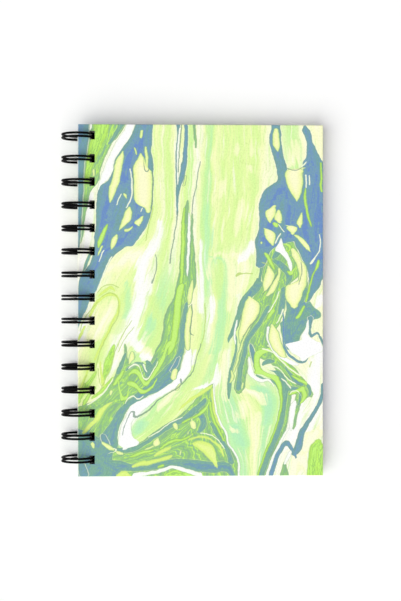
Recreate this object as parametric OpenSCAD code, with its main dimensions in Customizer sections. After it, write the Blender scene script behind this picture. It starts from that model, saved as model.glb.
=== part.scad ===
// Notebook bound by one twin-loop wire: two punched boards, a block of sheets and the wire comb.
// Z is up, Y runs along the spine towards the head edge, X runs from the spine to the fore edge.
// The origin lies under the middle of the whole part, at the height of the rings' lowest points.

/* [Covers] */
// Width of a cover, from spine edge to fore edge
cover_width = 134.5; // [90:0.5:210]
// Height of a cover, from head edge to tail edge
cover_height = 192.9; // [120:0.1:300]
// Thickness of a covered board
board_t = 2; // [1.5:0.1:2.4]
// Radius that the covering gives the board's edges
edge_round = 0.3; // [0.1:0.05:0.6]

/* [Pages] */
// Thickness of the whole stack of sheets
pages_t = 5.9; // [4.8:0.1:7]
// How far the sheets stop short of the covers at head, tail and fore edge
page_inset = 1.5; // [0.5:0.1:4]
// How far the outer sheets stand out past the covers' spine edges
spine_proud = 0.45; // [0.2:0.05:0.6]

/* [Binding wire] */
// Outer diameter of a closed ring
ring_d = 19; // [18:0.1:22.2]
// Thickness of the wire
wire_d = 1.25; // [0.9:0.05:1.3]
// Distance between the two parallel wires of a loop, centre to centre
twin_pitch = 1.85; // [1.6:0.05:2.4]
// Distance from one loop to the next
loop_pitch = 12.7; // [10:0.1:16]
// Radius of the bend between a loop and the straight run to the next loop
foot_bend_r = 1; // [0.8:0.05:1.3]
// How much the wire's radius is drawn down in its tight bends
bend_thinning = 0.02; // [0.015:0.005:0.04]
// Length of the cut end left beside the first and the last loop
cut_end = 1.5; // [0.5:0.1:2.5]

/* [Punching] */
// Distance from the head edge to the middle of the first hole
head_margin = 6; // [5:0.1:12]
// Least distance from the tail edge to the middle of the last hole
tail_margin_min = 6; // [5:0.1:12]
// Play between a board's hole and the wire, across the spine
hole_play = 0.2; // [0.1:0.01:0.3]
// Play between a hole and the pair of wires, along the spine
hole_side_play = 0.8; // [0.4:0.05:1.2]

/* [Clearances] */
// Gap between the covers' spine edges when one cover lies opened flat
flat_gap = 0.3; // [0.2:0.05:0.6]
// Gap that a turning cover leaves to the edges of the outer sheets
swing_air = 0.035; // [0.03:0.005:0.1]
// Gap between the wire's straight runs and the sheets or the board beside them
seam_air = 0.15; // [0.1:0.01:0.2]
// Gap between the closed tip of a loop and the straight runs it meets
tip_gap = 0.2; // [0.15:0.01:0.4]
// Distance over which the last sheets ease down from the wire to the back board
ease_length = 16; // [10:1:30]

/* [Hidden] */
$fn = 48;

ring_r = ring_d / 2;
loop_r = (ring_d - wire_d) / 2;
wire_r = wire_d / 2;
tight_r = wire_r - bend_thinning;
bend_lap = 0.1;
cut_over = 1;

// Heights are counted from the rings' common axis, on which the covers and sheets turn
pages_half = pages_t / 2;
spine_x = flat_gap / 2;
sheet_spine_x = spine_x - spine_proud;
inner_face = norm([sheet_spine_x, pages_half]) + swing_air;
outer_face = inner_face + board_t;
fore_x = spine_x + cover_width;

// The wire's two edges where it passes the board, which place and size the punched hole
board_wire_near = sqrt(pow(loop_r - wire_r, 2) - pow(outer_face, 2));
board_wire_far = sqrt(pow(loop_r + wire_r, 2) - pow(inner_face, 2));
hole_x = (board_wire_near + board_wire_far) / 2;
hole_width = board_wire_far - board_wire_near + 2 * hole_play;
hole_height = twin_pitch + wire_d + 2 * hole_side_play;

loops = floor((cover_height - head_margin - tail_margin_min) / loop_pitch) + 1;
loop_y = [for (i = [0:loops - 1]) cover_height / 2 - head_margin - i * loop_pitch];

// Foot of the loops: the angle on the ring at which a loop bends into its straight runs
foot_z = wire_r + seam_air - inner_face;
foot_angle = asin(foot_z / norm([loop_r, foot_bend_r])) - atan2(foot_bend_r, loop_r);
foot_x = loop_r * cos(foot_angle) - foot_bend_r * sin(foot_angle);
run_length = loop_pitch - twin_pitch - 2 * foot_bend_r;

// Tip of the loops: the angle at which the two wires turn into the hairpin
tip_r = twin_pitch / 2;
tip_z = foot_z + wire_d + tip_gap;
tip_angle = asin(tip_z / norm([loop_r, tip_r])) + atan2(tip_r, loop_r);
arc_angle = 360 + foot_angle - tip_angle;

// Sheets: every sheet lies with its holes on the ring, so the stack's edges follow the ring's curve
sheet_steps = 12;
ease_steps = 10;
seam_top = foot_z + wire_r + seam_air;
ease_from = foot_x + wire_r + 1;
sheet_margin = ring_x(pages_half) - sheet_spine_x;
sheet_width = fore_x - page_inset - ring_x(0) + sheet_margin;
sheet_height = cover_height - 2 * page_inset;

// Place of the rings' axis in the part's frame
axis_x = (ring_r - fore_x) / 2;
axis_z = ring_r;

// Distance from the rings' axis to the wire's centre line at a height on the right-hand side
function ring_x(z) = sqrt(loop_r * loop_r - z * z);

function heights(from, to, steps) = [for (i = [0:steps]) from + (to - from) * i / steps];

// Height of the last sheet on its way down from the wire to the board, for a share of the way
function ease_z(share) = -pages_half + (seam_top + pages_half) * (1 + cos(180 * share)) / 2;

module placed() {
    translate([axis_x, 0, axis_z]) children();
}

// Turns an outline drawn across the spine into a solid that runs along it, centred
module along_spine(length) {
    rotate([90, 0, 0]) linear_extrude(height = length, center = true) children();
}

// Rectangle with true round corners, from its low corner
module rounded_rect(size, r) {
    translate([r, 0]) square([size[0] - 2 * r, size[1]]);
    translate([0, r]) square([size[0], size[1] - 2 * r]);
    for (x = [r, size[0] - r], y = [r, size[1] - r]) {
        translate([x, y]) circle(r = r);
    }
}

// Board with its covering drawn round all four edges, which meet in mitred corners
module board_blank() {
    intersection() {
        along_spine(cover_height + cut_over)
            translate([spine_x, inner_face])
                rounded_rect([cover_width, board_t], edge_round);
        translate([spine_x, -cover_height / 2, inner_face])
            rotate([90, 0, 90])
                linear_extrude(height = cover_width)
                    rounded_rect([cover_height, board_t], edge_round);
    }
}

module board_hole(y) {
    translate([hole_x - hole_width / 2, y - hole_height / 2, inner_face - cut_over])
        cube([hole_width, hole_height, board_t + 2 * cut_over]);
}

module board() {
    difference() {
        board_blank();
        for (y = loop_y) {
            board_hole(y);
        }
    }
}

module front_cover() {
    color("#6E93C4") placed() board();
}

module back_cover() {
    color("#86B48E") placed() mirror([0, 0, 1]) board();
}

module sheet_outline() {
    spine_edge = [
        for (z = heights(seam_top, pages_half, sheet_steps))
            [ring_x(z) - sheet_margin, z]
    ];
    fore_edge = [
        for (z = heights(pages_half, -pages_half, sheet_steps))
            [ring_x(z) - sheet_margin + sheet_width, z]
    ];
    last_sheet = [
        for (share = heights(1, 0, ease_steps))
            [ease_from + ease_length * share, ease_z(share)]
    ];
    polygon(concat(spine_edge, fore_edge, last_sheet));
}

// Row of one hole through all sheets, each sheet's hole centred on the ring
module sheet_hole_outline() {
    top = pages_half + cut_over;
    bottom = -pages_half - cut_over;
    far_side = [
        for (z = heights(bottom, top, sheet_steps))
            [ring_x(z) + hole_width / 2, z]
    ];
    near_side = [
        for (z = heights(top, bottom, sheet_steps))
            [ring_x(z) - hole_width / 2, z]
    ];
    polygon(concat(far_side, near_side));
}

module page_block() {
    color("#F7F5EC") placed() difference() {
        along_spine(sheet_height) sheet_outline();
        for (y = loop_y) {
            translate([0, y, 0]) along_spine(hole_height) sheet_hole_outline();
        }
    }
}

// Tight bend, from the X axis through an angle, that runs on a little way inside its neighbours
module tight_bend(r, angle) {
    lap = bend_lap / r * 180 / PI;
    rotate([0, 0, -lap]) rotate_extrude(angle = angle + 2 * lap)
        translate([r, 0]) circle(r = tight_r);
}

// One loop, drawn in the ring's own plane with the spine along Z
module loop() {
    for (side = [-1, 1]) {
        translate([0, 0, side * tip_r]) rotate([0, 0, tip_angle])
            rotate_extrude(angle = arc_angle) translate([loop_r, 0]) circle(r = wire_r);
    }
    rotate([0, 0, tip_angle]) translate([loop_r, 0, 0])
        rotate([180, -90, 0]) tight_bend(tip_r, 180);
    for (side = [0, 1]) {
        mirror([0, 0, side]) rotate([0, 0, foot_angle])
            translate([loop_r, 0, tip_r + foot_bend_r])
                rotate([0, 90, 0]) tight_bend(foot_bend_r, 90);
    }
}

// Straight wire at the foot of the loops, along the spine
module run(y_low, length) {
    translate([foot_x, y_low, foot_z])
        rotate([-90, 0, 0]) cylinder(r = wire_r, h = length);
}

module binding_wire() {
    foot_reach = tip_r + foot_bend_r;
    color("#161618") placed() {
        for (y = loop_y) {
            translate([0, y, 0]) rotate([90, 0, 0]) loop();
        }
        for (i = [1:loops - 1]) {
            run(loop_y[i] + foot_reach, run_length);
        }
        run(loop_y[0] + foot_reach, cut_end);
        run(loop_y[loops - 1] - foot_reach - cut_end, cut_end);
    }
}

front_cover();
page_block();
back_cover();
binding_wire();
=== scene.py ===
"""Looks of a wire-bound notebook: marbled boards, loose leaves, black wire, floor and light."""

import math
import random

import bmesh
import bpy
from mathutils import Matrix, Vector


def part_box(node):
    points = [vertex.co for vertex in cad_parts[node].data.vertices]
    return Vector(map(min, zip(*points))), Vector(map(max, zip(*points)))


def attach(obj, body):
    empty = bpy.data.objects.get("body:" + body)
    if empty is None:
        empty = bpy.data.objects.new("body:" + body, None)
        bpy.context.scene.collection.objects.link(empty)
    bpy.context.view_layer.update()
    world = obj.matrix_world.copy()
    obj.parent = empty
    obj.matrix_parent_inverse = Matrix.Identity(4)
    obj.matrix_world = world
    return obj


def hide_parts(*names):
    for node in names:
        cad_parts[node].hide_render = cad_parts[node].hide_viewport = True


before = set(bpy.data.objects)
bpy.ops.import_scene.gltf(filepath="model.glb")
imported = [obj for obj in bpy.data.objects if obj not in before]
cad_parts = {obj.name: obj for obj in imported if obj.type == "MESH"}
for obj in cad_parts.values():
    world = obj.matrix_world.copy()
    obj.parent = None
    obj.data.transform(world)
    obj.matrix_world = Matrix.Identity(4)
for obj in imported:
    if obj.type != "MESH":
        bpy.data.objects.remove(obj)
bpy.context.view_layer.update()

MM = 0.001

# Boxes of the four nodes, in metres
WIRE_LOW, WIRE_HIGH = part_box("binding_wire")
PAGES_LOW, PAGES_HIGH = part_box("page_block")
BACK_LOW, BACK_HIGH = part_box("back_cover")
FRONT_LOW, FRONT_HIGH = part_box("front_cover")

# The rings' outer radius and their common axis
RING_R = (WIRE_HIGH.z - WIRE_LOW.z) / 2
RING_X = WIRE_LOW.x + RING_R
RING_Z = WIRE_LOW.z + RING_R

# The stack of loose leaves: how many there are, and how far they differ at their edges
LEAVES = 59
LEAF_PITCH = (PAGES_HIGH.z - PAGES_LOW.z) / LEAVES
AIR_SHARE = 0.05
EDGE_SHIFT = 0.12 * MM
CHANCE_SEED = 4

# Sizes of the sheets as the CAD has them; heights are counted from the rings' axis
WIRE_LINE_R = RING_R - 0.625 * MM
SEAM_TOP = -1.45 * MM
EASE_FROM = 10.28 * MM
EASE_LENGTH = 16 * MM
EASE_STEPS = 8
HOLES = 15
HOLE_PITCH = 12.7 * MM
HOLE_W = 2.86 * MM
HOLE_H = 4.7 * MM
HEAD_MARGIN = 6 * MM

# The print's own place: millimetres across from the spine edge and down from the head edge
PRINT_ACROSS = -FRONT_LOW.x / MM
PRINT_DOWN = FRONT_HIGH.y / MM

# The boards' covering, in millimetres in from the board's edges
EDGE_ZONE = 0.6
LINING_INSET = 3.0
LINING_EDGE = 0.06
TURN_IN = 14.0
TURN_IN_SLOPE = 0.25

# How far the covering's relief stands out, in millimetres
LINING_RISE = 0.1
TURN_IN_RISE = 0.06
TOOTH_RISE = 0.03

# How rough the satin print is, and how much rougher the matt lining and the bare core are
SATIN = (0.42, 0.6)
MATT_GAIN = 0.35

# Grain of the finishes, drawn coarser than real fibres and coats, which are too fine to show
COAT_GRAIN = 0.9 * MM
SHEET_FIBRE = 0.35 * MM
BOARD_FIBRE = 0.4 * MM

# A face looks a way when its normal has more than this share that way
FACING = 0.5

# Light from the sky; the lamp gives the rest of 1 on the floor in red, green and blue, and its
# angle is in degrees
SKY_LIGHT = (0.205, 0.18, 0.255, 1)
LAMP_ANGLE = 74
LAMP_TOWARDS = (-0.52, -0.54, 1.0)

# Half the floor's width, in metres
FLOOR_HALF = 3.0

# The photograph's frame, where the middle of the cover lies in it, and the camera that sees it so:
# its height over the cover is in metres, its lens and sensor are in millimetres
PHOTO_W, PHOTO_H = 401, 601
COVER_MID_PX = (201.0, 300.31)
CAMERA_HEIGHT = 0.684
LENS = 74.62
SENSOR = 36.0

# A noise's middle, and about how far it swings to each side of it
NOISE_MIDDLE = 0.5
NOISE_SWING = 0.25

# Waves that bend the flow and the strokes' edges, as (size of a wave in mm, reach in mm, seed)
FLOW_WAVES = ((30, 0.9, 3.1), (8, 0.45, 7.7))
EDGE_WAVES = ((12, 0.3, 1.3), (4, 0.22, 5.9), (1.4, 0.1, 8.3))

# Noises of the print, as (width in mm, length in mm, seed)
BROAD_STREAKS = (5.0, 46, 2.0)
FINE_STREAKS = (1.3, 22, 6.0)
GRAIN = (1.6, 1.6, 4.0)
MOTTLE = (0.9, 0.9, 9.0)

# Reach of the broad and the fine streaks in the size's tints and the soft dyes' edges, in mm; a
# streak moves them by up to a fifth of its reach
SIZE_BROAD = 9.0
SIZE_FINE = 3.0
SOFT_BROAD = 4.0
SOFT_FINE = 9.0

# How far soft dyes flow together, in mm, and the mottle's reach about its middle brightness
SOFT_JOIN = 1.5
MOTTLE_REACH = 0.3
MOTTLE_MIDDLE = 0.985

# A run of a stroke goes on while it moves on by more than this share of its move sideways
RUN_SHARE = 0.5

# A stroke's round end: at this many half-widths past the last point, this share of the width is left
CAP_AT = 0.6
CAP_WIDTH = 0.8

# The rim of a flowing dye that the streaks leave alone, in mm, and how fast they set in from its edge
EDGE_HELD = 0.2
DRIFT_RISE = 0.9

# Strokes of each dye, as rows of (across, down, half-width) in mm
STROKES = {
    "lime_pools": (
        ((18.6, 90.9, 2.2), (12, 94.2, 2.75)),
        ((11.5, 116.2, 3.29), (10.9, 127.1, 4.94), (7.6, 140.3, 4.39), (3.2, 149.1, 3.29)),
        ((25.2, 94.2, 1.65), (24.7, 103, 2.2), (21.4, 112.9, 2.2)),
        ((78.5, 78.8, 1.65), (77.4, 87.6, 2.75), (76.8, 94.2, 2.2)),
        ((83.4, 96.4, 2.2), (82.3, 107.4, 2.75), (81.2, 121.1, 2.2)),
        ((39.5, 96.4, 2.2), (43.9, 112.9, 2.75), (40.6, 123.9, 2.2)),
        ((68.6, 121.7, 2.2), (66.4, 133.7, 3.29), (60.3, 144.7, 2.75)),
    ),
    "mint_pools": (
        ((36.7, 29.4, 2.2), (37.1, 33.8, 2.47)),
        ((39.5, 107.4, 1.87), (38.9, 111.8, 1.98)),
        ((71.9, 87.6, 0.55), (72.6, 81, 0.88), (74.6, 75.5, 1.1), (77.1, 73.6, 1.21)),
        ((77.1, 73.6, 1.21), (80.4, 75, 1.1), (81.5, 82.1, 0.88), (80.4, 90.9, 1.1), (79, 99.1, 1.65),
         (78.5, 107.4, 1.87), (76.8, 115.6, 2.2), (74.6, 123.9, 2.2)),
        ((70.5, 44.2, 0.88), (71.3, 56.9, 1.43), (71.6, 66.8, 1.65), (70.9, 76.6, 1.43),
         (70.5, 86.5, 1.1), (70.5, 94.2, 0.88)),
        ((26.6, 87.1, 0.88), (27, 96.4, 1.21), (26.3, 106.3, 0.77)),
        ((34, 164.5, 2.75), (32.3, 167.8, 2.53)),
        ((86.7, 167.8, 4.94), (88.9, 173.3, 4.94)),
        ((101, 146.9, 4.94), (104.3, 153.5, 4.39), (103.2, 162.3, 3.84)),
    ),
    "cream_pools": (
        ((34, 70.1, 3.29), (26.3, 73.3, 4.39), (18.6, 78.8, 2.75)),
        ((87.5, 10.8, 0.55), (87.7, 14.6, 1.43), (87.5, 17.3, 0.55)),
        ((18.6, 98.1, 2.2), (15.9, 104.1, 3.29), (12, 110.7, 3.29), (8.7, 117.3, 1.65)),
        ((94.6, 8, 0.44), (94.8, 13, 0.82), (94.6, 17.3, 0.44)),
        ((94.6, 23.9, 1.65), (95.5, 26.7, 1.1)),
        ((78.8, 31.6, 0.55), (78.2, 35.5, 1.43), (77.4, 39.9, 0.55)),
        ((89.4, 42.6, 1.1), (88.9, 48.1, 2.2), (87.6, 56.9, 1.87), (87.2, 61.3, 0.55)),
        ((71.3, 84.9, 0.49), (73, 77.7, 0.6), (75.4, 72.8, 0.71), (77.6, 70.8, 0.88), (80.1, 71.5, 0.77)),
        ((80.1, 71.5, 0.77), (83, 76.6, 0.82), (84.5, 86, 0.99), (84.2, 94.8, 0.99), (82.8, 101.9, 0.55)),
        ((88.3, 73.3, 2.75), (91.6, 77.7, 3.29), (91.1, 85.4, 3.29), (87.8, 91.5, 1.87)),
        ((119.6, 8.6, 1.76), (118, 19.5, 2.75), (115.2, 22.8, 2.2)),
        ((124, 3.1, 1.43), (124.8, 19.5, 0.88)),
        ((130.6, -3.5, 3.84), (132.3, 6.4, 2.75), (133.9, 15.2, 1.1)),
        ((80.4, 125, 1.43), (80.1, 138.1, 1.65), (81.2, 150.2, 1.32)),
        ((90.3, 153.5, 2.75), (90, 159, 2.2)),
        ((85, 167.2, 1.32), (85.6, 167.8, 1.1)),
        ((96, 146.9, 2.75), (99.3, 149.1, 2.53), (101, 152.4, 1.65)),
        ((98.8, 159, 1.98), (97.7, 173.3, 2.2), (96, 191.9, 1.65)),
        ((12.9, 132.6, 1.43), (13.9, 139.2, 1.65), (12.6, 143.1, 0.88)),
        ((54.8, 144.7, 1.87), (49.4, 150.2, 2.2), (43.9, 155.1, 1.65)),
        ((38.4, 127.1, 3.29), (34, 123.9, 2.75)),
        ((117.4, 189.7, 4.39), (120.7, 184.2, 3.84), (125.1, 189.7, 3.29)),
        ((129, 171.1, 4.39), (125.1, 177.7, 3.29)),
    ),
    "white_pools": (
        ((43.9, 53.6, 0.77), (43.6, 60.2, 1.32), (39.5, 69, 2.96), (35.1, 75.5, 3.29), (34, 88.2, 2.75),
         (32.3, 98.6, 2.75), (29.6, 108.5, 2.53), (30.1, 118.4, 2.53), (32.9, 123.9, 1.65)),
        ((5.4, 39.3, 1.87), (6, 49.2, 2.53), (5.2, 62.4, 2.42), (2.7, 75.5, 1.98), (1, 85.4, 1.32)),
        ((94.6, 65.7, 1.65), (93.3, 70.6, 2.42), (90.5, 74.4, 1.87)),
        ((35.6, 128.2, 2.2), (38.9, 128.8, 1.65)),
        ((67.7, 63.5, 0.49), (67.6, 72.2, 1.21), (67.4, 85.4, 1.21), (66.7, 95.9, 0.99),
         (66, 103.5, 0.44)),
        ((73, 95.3, 0.77), (72.7, 99.1, 1.54), (72.4, 103.5, 1.1), (71.6, 108.5, 0.49)),
        ((69.1, 143.6, 1.65), (74.6, 140.3, 1.65), (75.7, 131.5, 0.77)),
        ((64.5, 123.3, 0.77), (63.1, 130.4, 1.32)),
        ((131.2, 127.1, 3.84), (129.5, 142.5, 3.84), (131.7, 151.3, 2.2), (126.2, 166.7, 2.75)),
        ((120.7, 153.5, 2.75), (120.2, 165, 2.75), (115.2, 176.6, 2.2)),
        ((132.8, 96.4, 2.2), (131.7, 99.7, 1.65)),
        ((2.1, 108.5, 1.87), (1, 118.4, 1.65)),
    ),
    "green_bands": (
        ((13.5, -3.5, 8.09), (13.3, 2, 7.49), (12.1, 8.6, 6.74), (10.5, 14.6, 5.42), (8.6, 20.1, 4.84),
         (7.5, 25.6, 4.47), (7, 30.5, 4.02), (4.6, 37.1, 1.87), (4, 43.2, 1.41), (2.9, 49.2, 1.06),
         (1.7, 61.3, 0.65), (0.8, 65.1, 0.32)),
        ((23, -4.6, 3.84), (21.4, 2, 3.29), (19.2, 7.5, 1.65)),
        ((59.9, 41.5, 0.22), (59.2, 46.4, 1.09), (58.6, 51.9, 1.37), (58.3, 58.3, 1.51),
         (57.8, 67.6, 1.62), (57.5, 73.7, 1.76), (57.4, 79.9, 2.03), (57.5, 86, 3.35), (57.5, 92, 4.26),
         (56.4, 96.4, 4.3), (55.1, 99.1, 4.61), (54, 102.4, 5.35), (52.8, 108.9, 5.79),
         (52.2, 115.1, 6.08), (51.5, 120, 6.49), (50, 124.4, 7.38), (48.6, 128.8, 7.73),
         (47.3, 132.1, 7.84)),
        ((62.6, 49.2, 0.22), (62.1, 61.3, 0.6), (62.1, 67.6, 1.26), (62.3, 73.7, 1.7), (62.2, 79.9, 2.17),
         (62, 86, 2.19), (61.4, 91.5, 1.09)),
        ((29.9, 131, 1.82), (38.5, 133.2, 10.26), (37.5, 136.9, 15.47), (34.8, 141.3, 12.79),
         (31.2, 145, 9.78), (25.7, 148.6, 7.14), (20.5, 151.9, 6.02), (16.4, 153.7, 6.41),
         (13, 156.2, 10.3), (10.4, 160.1, 13.66), (9.3, 165, 13.5), (8.3, 171.1, 12.77),
         (8.6, 176.6, 13.03)),
        ((25.7, 120.9, 0.27), (25.7, 124.4, 0.6), (25.4, 127.7, 1.04), (25, 131, 2.35)),
        ((63.7, -3.5, 0.55), (63.8, 3.1, 0.55), (64.4, 12.4, 0.33)),
        ((72.7, 143.6, 1.2), (71.2, 146.4, 2.92), (68.7, 153.5, 5.95), (66.1, 159.3, 9.34),
         (65.1, 161.7, 10.61), (62.5, 165.6, 14.35), (60.5, 170, 19.03), (59.6, 172.4, 19.57),
         (58.1, 174.3, 18.27), (55.4, 177.4, 18.58), (51.8, 179.9, 19.39), (46.6, 183.7, 22.63),
         (41.4, 187, 34.69), (41.4, 189.7, 45.84)),
        ((66.9, 189.7, 1.65), (76.8, 190.8, 3.29), (83.4, 189.7, 3.84)),
        ((111.9, 63.5, 5.47), (112.2, 66.8, 7.96), (111.9, 70.1, 8.23), (112.5, 73.3, 9.32),
         (111.7, 76.6, 9.94), (111.1, 79.9, 10.09), (110.8, 83.8, 9.41), (108.6, 87.6, 6.77),
         (107, 90.9, 7.37), (105.4, 94.2, 8.01), (104.5, 96.4, 9.01), (105.9, 99.7, 7.52),
         (105.9, 103, 6.5), (104.8, 106.3, 5.99), (102.9, 109.6, 6.4), (101, 112.9, 5.94),
         (98.5, 116.2, 5.99), (97, 120, 6.62), (95, 123.9, 5.3)),
        ((91.9, 120, 2.43), (91.1, 124.4, 2.01), (90.4, 130.7, 2.29), (90.1, 134.8, 2.53),
         (89, 140, 2.76), (88.5, 144.4, 2.86), (88.3, 146.4, 1.64)),
        ((98.8, 123.9, 3.84), (104.3, 126.1, 3.29), (109.2, 130.4, 3.84), (114.7, 137, 4.94),
         (120.2, 142, 4.94), (124, 145.3, 4.39), (126.8, 146.9, 2.2)),
        ((114.7, 146.9, 2.2), (114.9, 153.5, 1.43), (114.5, 158.8, 1.1), (113.5, 165, 1.1),
         (111.4, 171.1, 1.1), (108.6, 177.4, 0.99), (105.9, 183.7, 0.88), (102.4, 194.1, 0.88)),
        ((121.8, 149.1, 2.2), (120.6, 152.4, 1.54), (119.6, 157.9, 1.1), (118.8, 163.4, 0.77),
         (118.3, 167.2, 0.33)),
        ((113.4, 185.9, 0.38), (113.2, 188.6, 1.26), (112.9, 194.1, 2.3)),
        ((123.5, 37.1, 0.49), (123.1, 44.2, 1.1), (124.3, 51.4, 0.88), (126.2, 55.8, 0.33)),
        ((131.7, 75.5, 0.77), (127.9, 85.4, 1.21), (124.9, 94.2, 1.32), (122.9, 100.8, 0.77)),
        ((21.9, 193, 3.84), (27.4, 191.9, 2.2)),
    ),
    "teal_bands": (
        ((59.3, 98.1, 0.81), (58, 104.6, 1.22), (57.1, 111.8, 1.42), (56.8, 118.4, 1.37),
         (56.2, 123.3, 1.61), (54.8, 127.7, 2), (52.6, 131.3, 2.82), (49.9, 135.9, 3.97),
         (45.2, 141.3, 4.11), (41, 145, 3.38), (34.8, 148.6, 2.21), (29.3, 152.4, 1.87),
         (24.4, 156.8, 1.92), (21.4, 162.3, 2.38), (18.1, 167.8, 3.38), (16, 172.2, 4.62),
         (13.9, 176.6, 6.69)),
        ((38.4, 130.4, 1.32), (39.1, 133.7, 1.87), (37.8, 137, 1.1)),
        ((21.9, 135.9, 1.1), (23.9, 130.4, 0.88), (25.5, 125.5, 0.44)),
        ((26.3, 134.3, 0.55), (29.6, 132.1, 0.66), (34, 130.8, 0.55), (36.2, 133.7, 0.99),
         (37.8, 137.6, 0.99), (40, 134.3, 0.88), (42.8, 129.3, 0.55)),
        ((3.8, 175.5, 9.33), (6, 179.9, 12.25), (6, 184.2, 12.25), (8.2, 188.6, 14.82),
         (6, 195.2, 11.98)),
        ((14.2, 189.7, 3.84), (21.9, 187, 2.75), (30.7, 188.3, 1.87), (39.5, 187.3, 1.87),
         (49.4, 186.2, 1.98), (58.1, 186.1, 2.42), (66.9, 187.5, 3.07), (74.6, 188.4, 2.96),
         (81.2, 188.1, 2.53), (84.5, 191.9, 2.2)),
        ((21.9, 178.8, 1.32), (29.6, 178, 1.32), (36.2, 175.2, 0.99), (42.8, 170.5, 0.88),
         (51.6, 164.5, 1.21), (58.1, 161.2, 1.43), (63.6, 157.3, 1.65), (68.6, 152.4, 1.32)),
        ((98.6, 84.9, 0.68), (98.8, 87.1, 2.13), (97.5, 89.3, 2.35), (94.6, 92.8, 2.26),
         (91.2, 96.4, 1.62), (89.3, 99.7, 1.38), (88.5, 102.4, 1.21), (86.5, 108.9, 1.41),
         (84.8, 113.9, 1.28), (83.1, 117.6, 0.79), (82.5, 119.5, 0.21)),
        ((86.3, 115.1, 0.27), (86.9, 122.2, 0.49), (85.6, 129.3, 0.66), (84.2, 133.7, 0.77),
         (83.1, 139.2, 0.88), (82.8, 143.6, 1.21), (82.5, 147.5, 0.77), (82.4, 150.2, 0.27)),
        ((101, 76.6, 0.88), (99.9, 83.2, 0.55), (98.8, 87.6, 1.1)),
        ((109.7, 75.5, 1.65), (113, 78.8, 1.87), (115.8, 83.8, 1.65), (114.7, 87.6, 0.77)),
        ((111.4, 69, 1.65), (107.5, 72.2, 1.1)),
        ((113, 90.9, 1.65), (111.9, 98.6, 1.65), (110.8, 103, 1.1)),
        ((104.3, 99.7, 0.77), (101, 106.3, 1.1), (96.6, 112.9, 1.21), (92.7, 118.9, 1.1),
         (90.9, 127.1, 1.1), (88.9, 135.9, 1.1), (88.1, 144.7, 1.43)),
        ((94.7, 120.6, 0.77), (95.5, 126.1, 1.32), (96.8, 131.5, 0.99), (97.7, 135.9, 0.44)),
        ((98, 138, 0.44), (102.1, 140, 0.49), (106.5, 141.1, 0.55), (109.5, 144.7, 0.66)),
        ((101.5, 131.3, 0.88), (103.7, 130.2, 1.32), (107, 129.9, 0.66)),
        ((102.1, 134.6, 0.44), (107.5, 135.2, 0.77), (110.8, 138.1, 1.43), (113, 143.6, 2.2),
         (113.4, 149.1, 1.43), (113.1, 152.4, 1.21), (112.5, 158.8, 1.21), (111.1, 165, 1.32),
         (108.8, 171.1, 1.43), (106.1, 177.4, 1.43), (103.7, 183.7, 1.43), (100.1, 194.1, 1.43)),
        ((114.1, 134.3, 0.66), (119.1, 140.3, 1.21), (122.9, 142.5, 0.99)),
        ((111.9, 145.3, 1.65), (117.4, 145, 1.1), (121.8, 145.8, 0.66), (121.8, 149.7, 0.55),
         (120.7, 153.5, 0.44)),
        ((125.1, 142.5, 0.88), (127.3, 145.3, 0.77), (127, 148.6, 0.66)),
        ((66.9, 159, 1.65), (68.6, 164.5, 1.65), (66.9, 167.8, 1.32)),
        ((73.5, 164.5, 1.1), (75.7, 168.9, 1.1), (79, 174.4, 1.1), (82.3, 179.9, 1.1),
         (83.9, 185.3, 1.32)),
        ((24.7, -1.9, 1.65), (21.9, 3.1, 1.1), (17.5, 10.2, 0.77)),
        ((6.5, 70.6, 0.44), (4.7, 75.5, 0.77), (2.9, 81.6, 0.77), (1.4, 86.5, 0.44)),
        ((9.8, 161.2, 1.32), (5.4, 166.7, 1.43), (2.1, 171.1, 1.1)),
        ((121.8, 93.1, 4.17), (120.7, 96.4, 6.04), (121.9, 100.2, 7), (123.4, 102.7, 9),
         (123.4, 105.2, 8.98), (121.3, 107.1, 5.58), (119, 109, 6.31), (118.4, 110.7, 6.93),
         (118, 112.6, 6.42), (117.5, 114.5, 5.61), (117, 116.7, 4.79), (116.8, 119.8, 4.27)),
    ),
    "blue_pools": (
        ((0.1, -3.5, 5.63), (-0.1, 8.6, 5.49), (-0.5, 14.1, 5.06), (-1.3, 22.3, 4.27), (-1.4, 30.5, 4.12),
         (-1.5, 41.5, 4.06), (-2, 55.2, 3.57), (-2.4, 63.5, 3.15), (-2.8, 70.6, 2.74)),
        ((36.5, -3.5, 4.66), (36.2, -0.2, 4.69), (35.7, 3.1, 4.94), (35, 5.8, 5.37), (34, 9.1, 6.04),
         (32.6, 12.1, 6.83), (31.4, 15.2, 7.94), (30.5, 18.3, 9.64), (30.3, 21.4, 10.45),
         (30.2, 24.5, 10.78), (29.8, 26.9, 10.97), (29.1, 29.4, 11.23), (28.1, 31.8, 11.04),
         (26.8, 33.3, 11.77), (26.1, 34.7, 14.2), (25.8, 36.7, 15.01), (25.4, 42.9, 15.25),
         (25.1, 45.9, 15.05), (24.7, 49.2, 14.71), (24.3, 52.2, 14.36), (23.7, 55.2, 13.4),
         (22.5, 58.3, 12.08), (21.2, 61.3, 11.28), (20.1, 64.5, 10.42), (19.3, 66.3, 7.79),
         (17.5, 67.3, 4.87), (16.2, 68.4, 5.88), (14.7, 70.6, 5.45), (13.2, 73.1, 4.93),
         (11.4, 76.8, 4.41), (10, 78.8, 4.64), (9, 80.5, 4.91), (7.3, 83.6, 5.28), (6, 87.1, 5.22),
         (4.9, 90.9, 4.8), (2, 96.4, 3.95), (0.8, 100.8, 3.88), (-0.3, 103, 3.87), (-1, 105.7, 3.36),
         (-1.6, 109, 2.78), (-2.2, 112.3, 2.22)),
        ((54.7, -3.5, 1.15), (54.6, -0.2, 0.99), (54.7, 3.1, 0.63), (54.4, 6.4, 0.33), (53.9, 9.7, 0.22),
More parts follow.
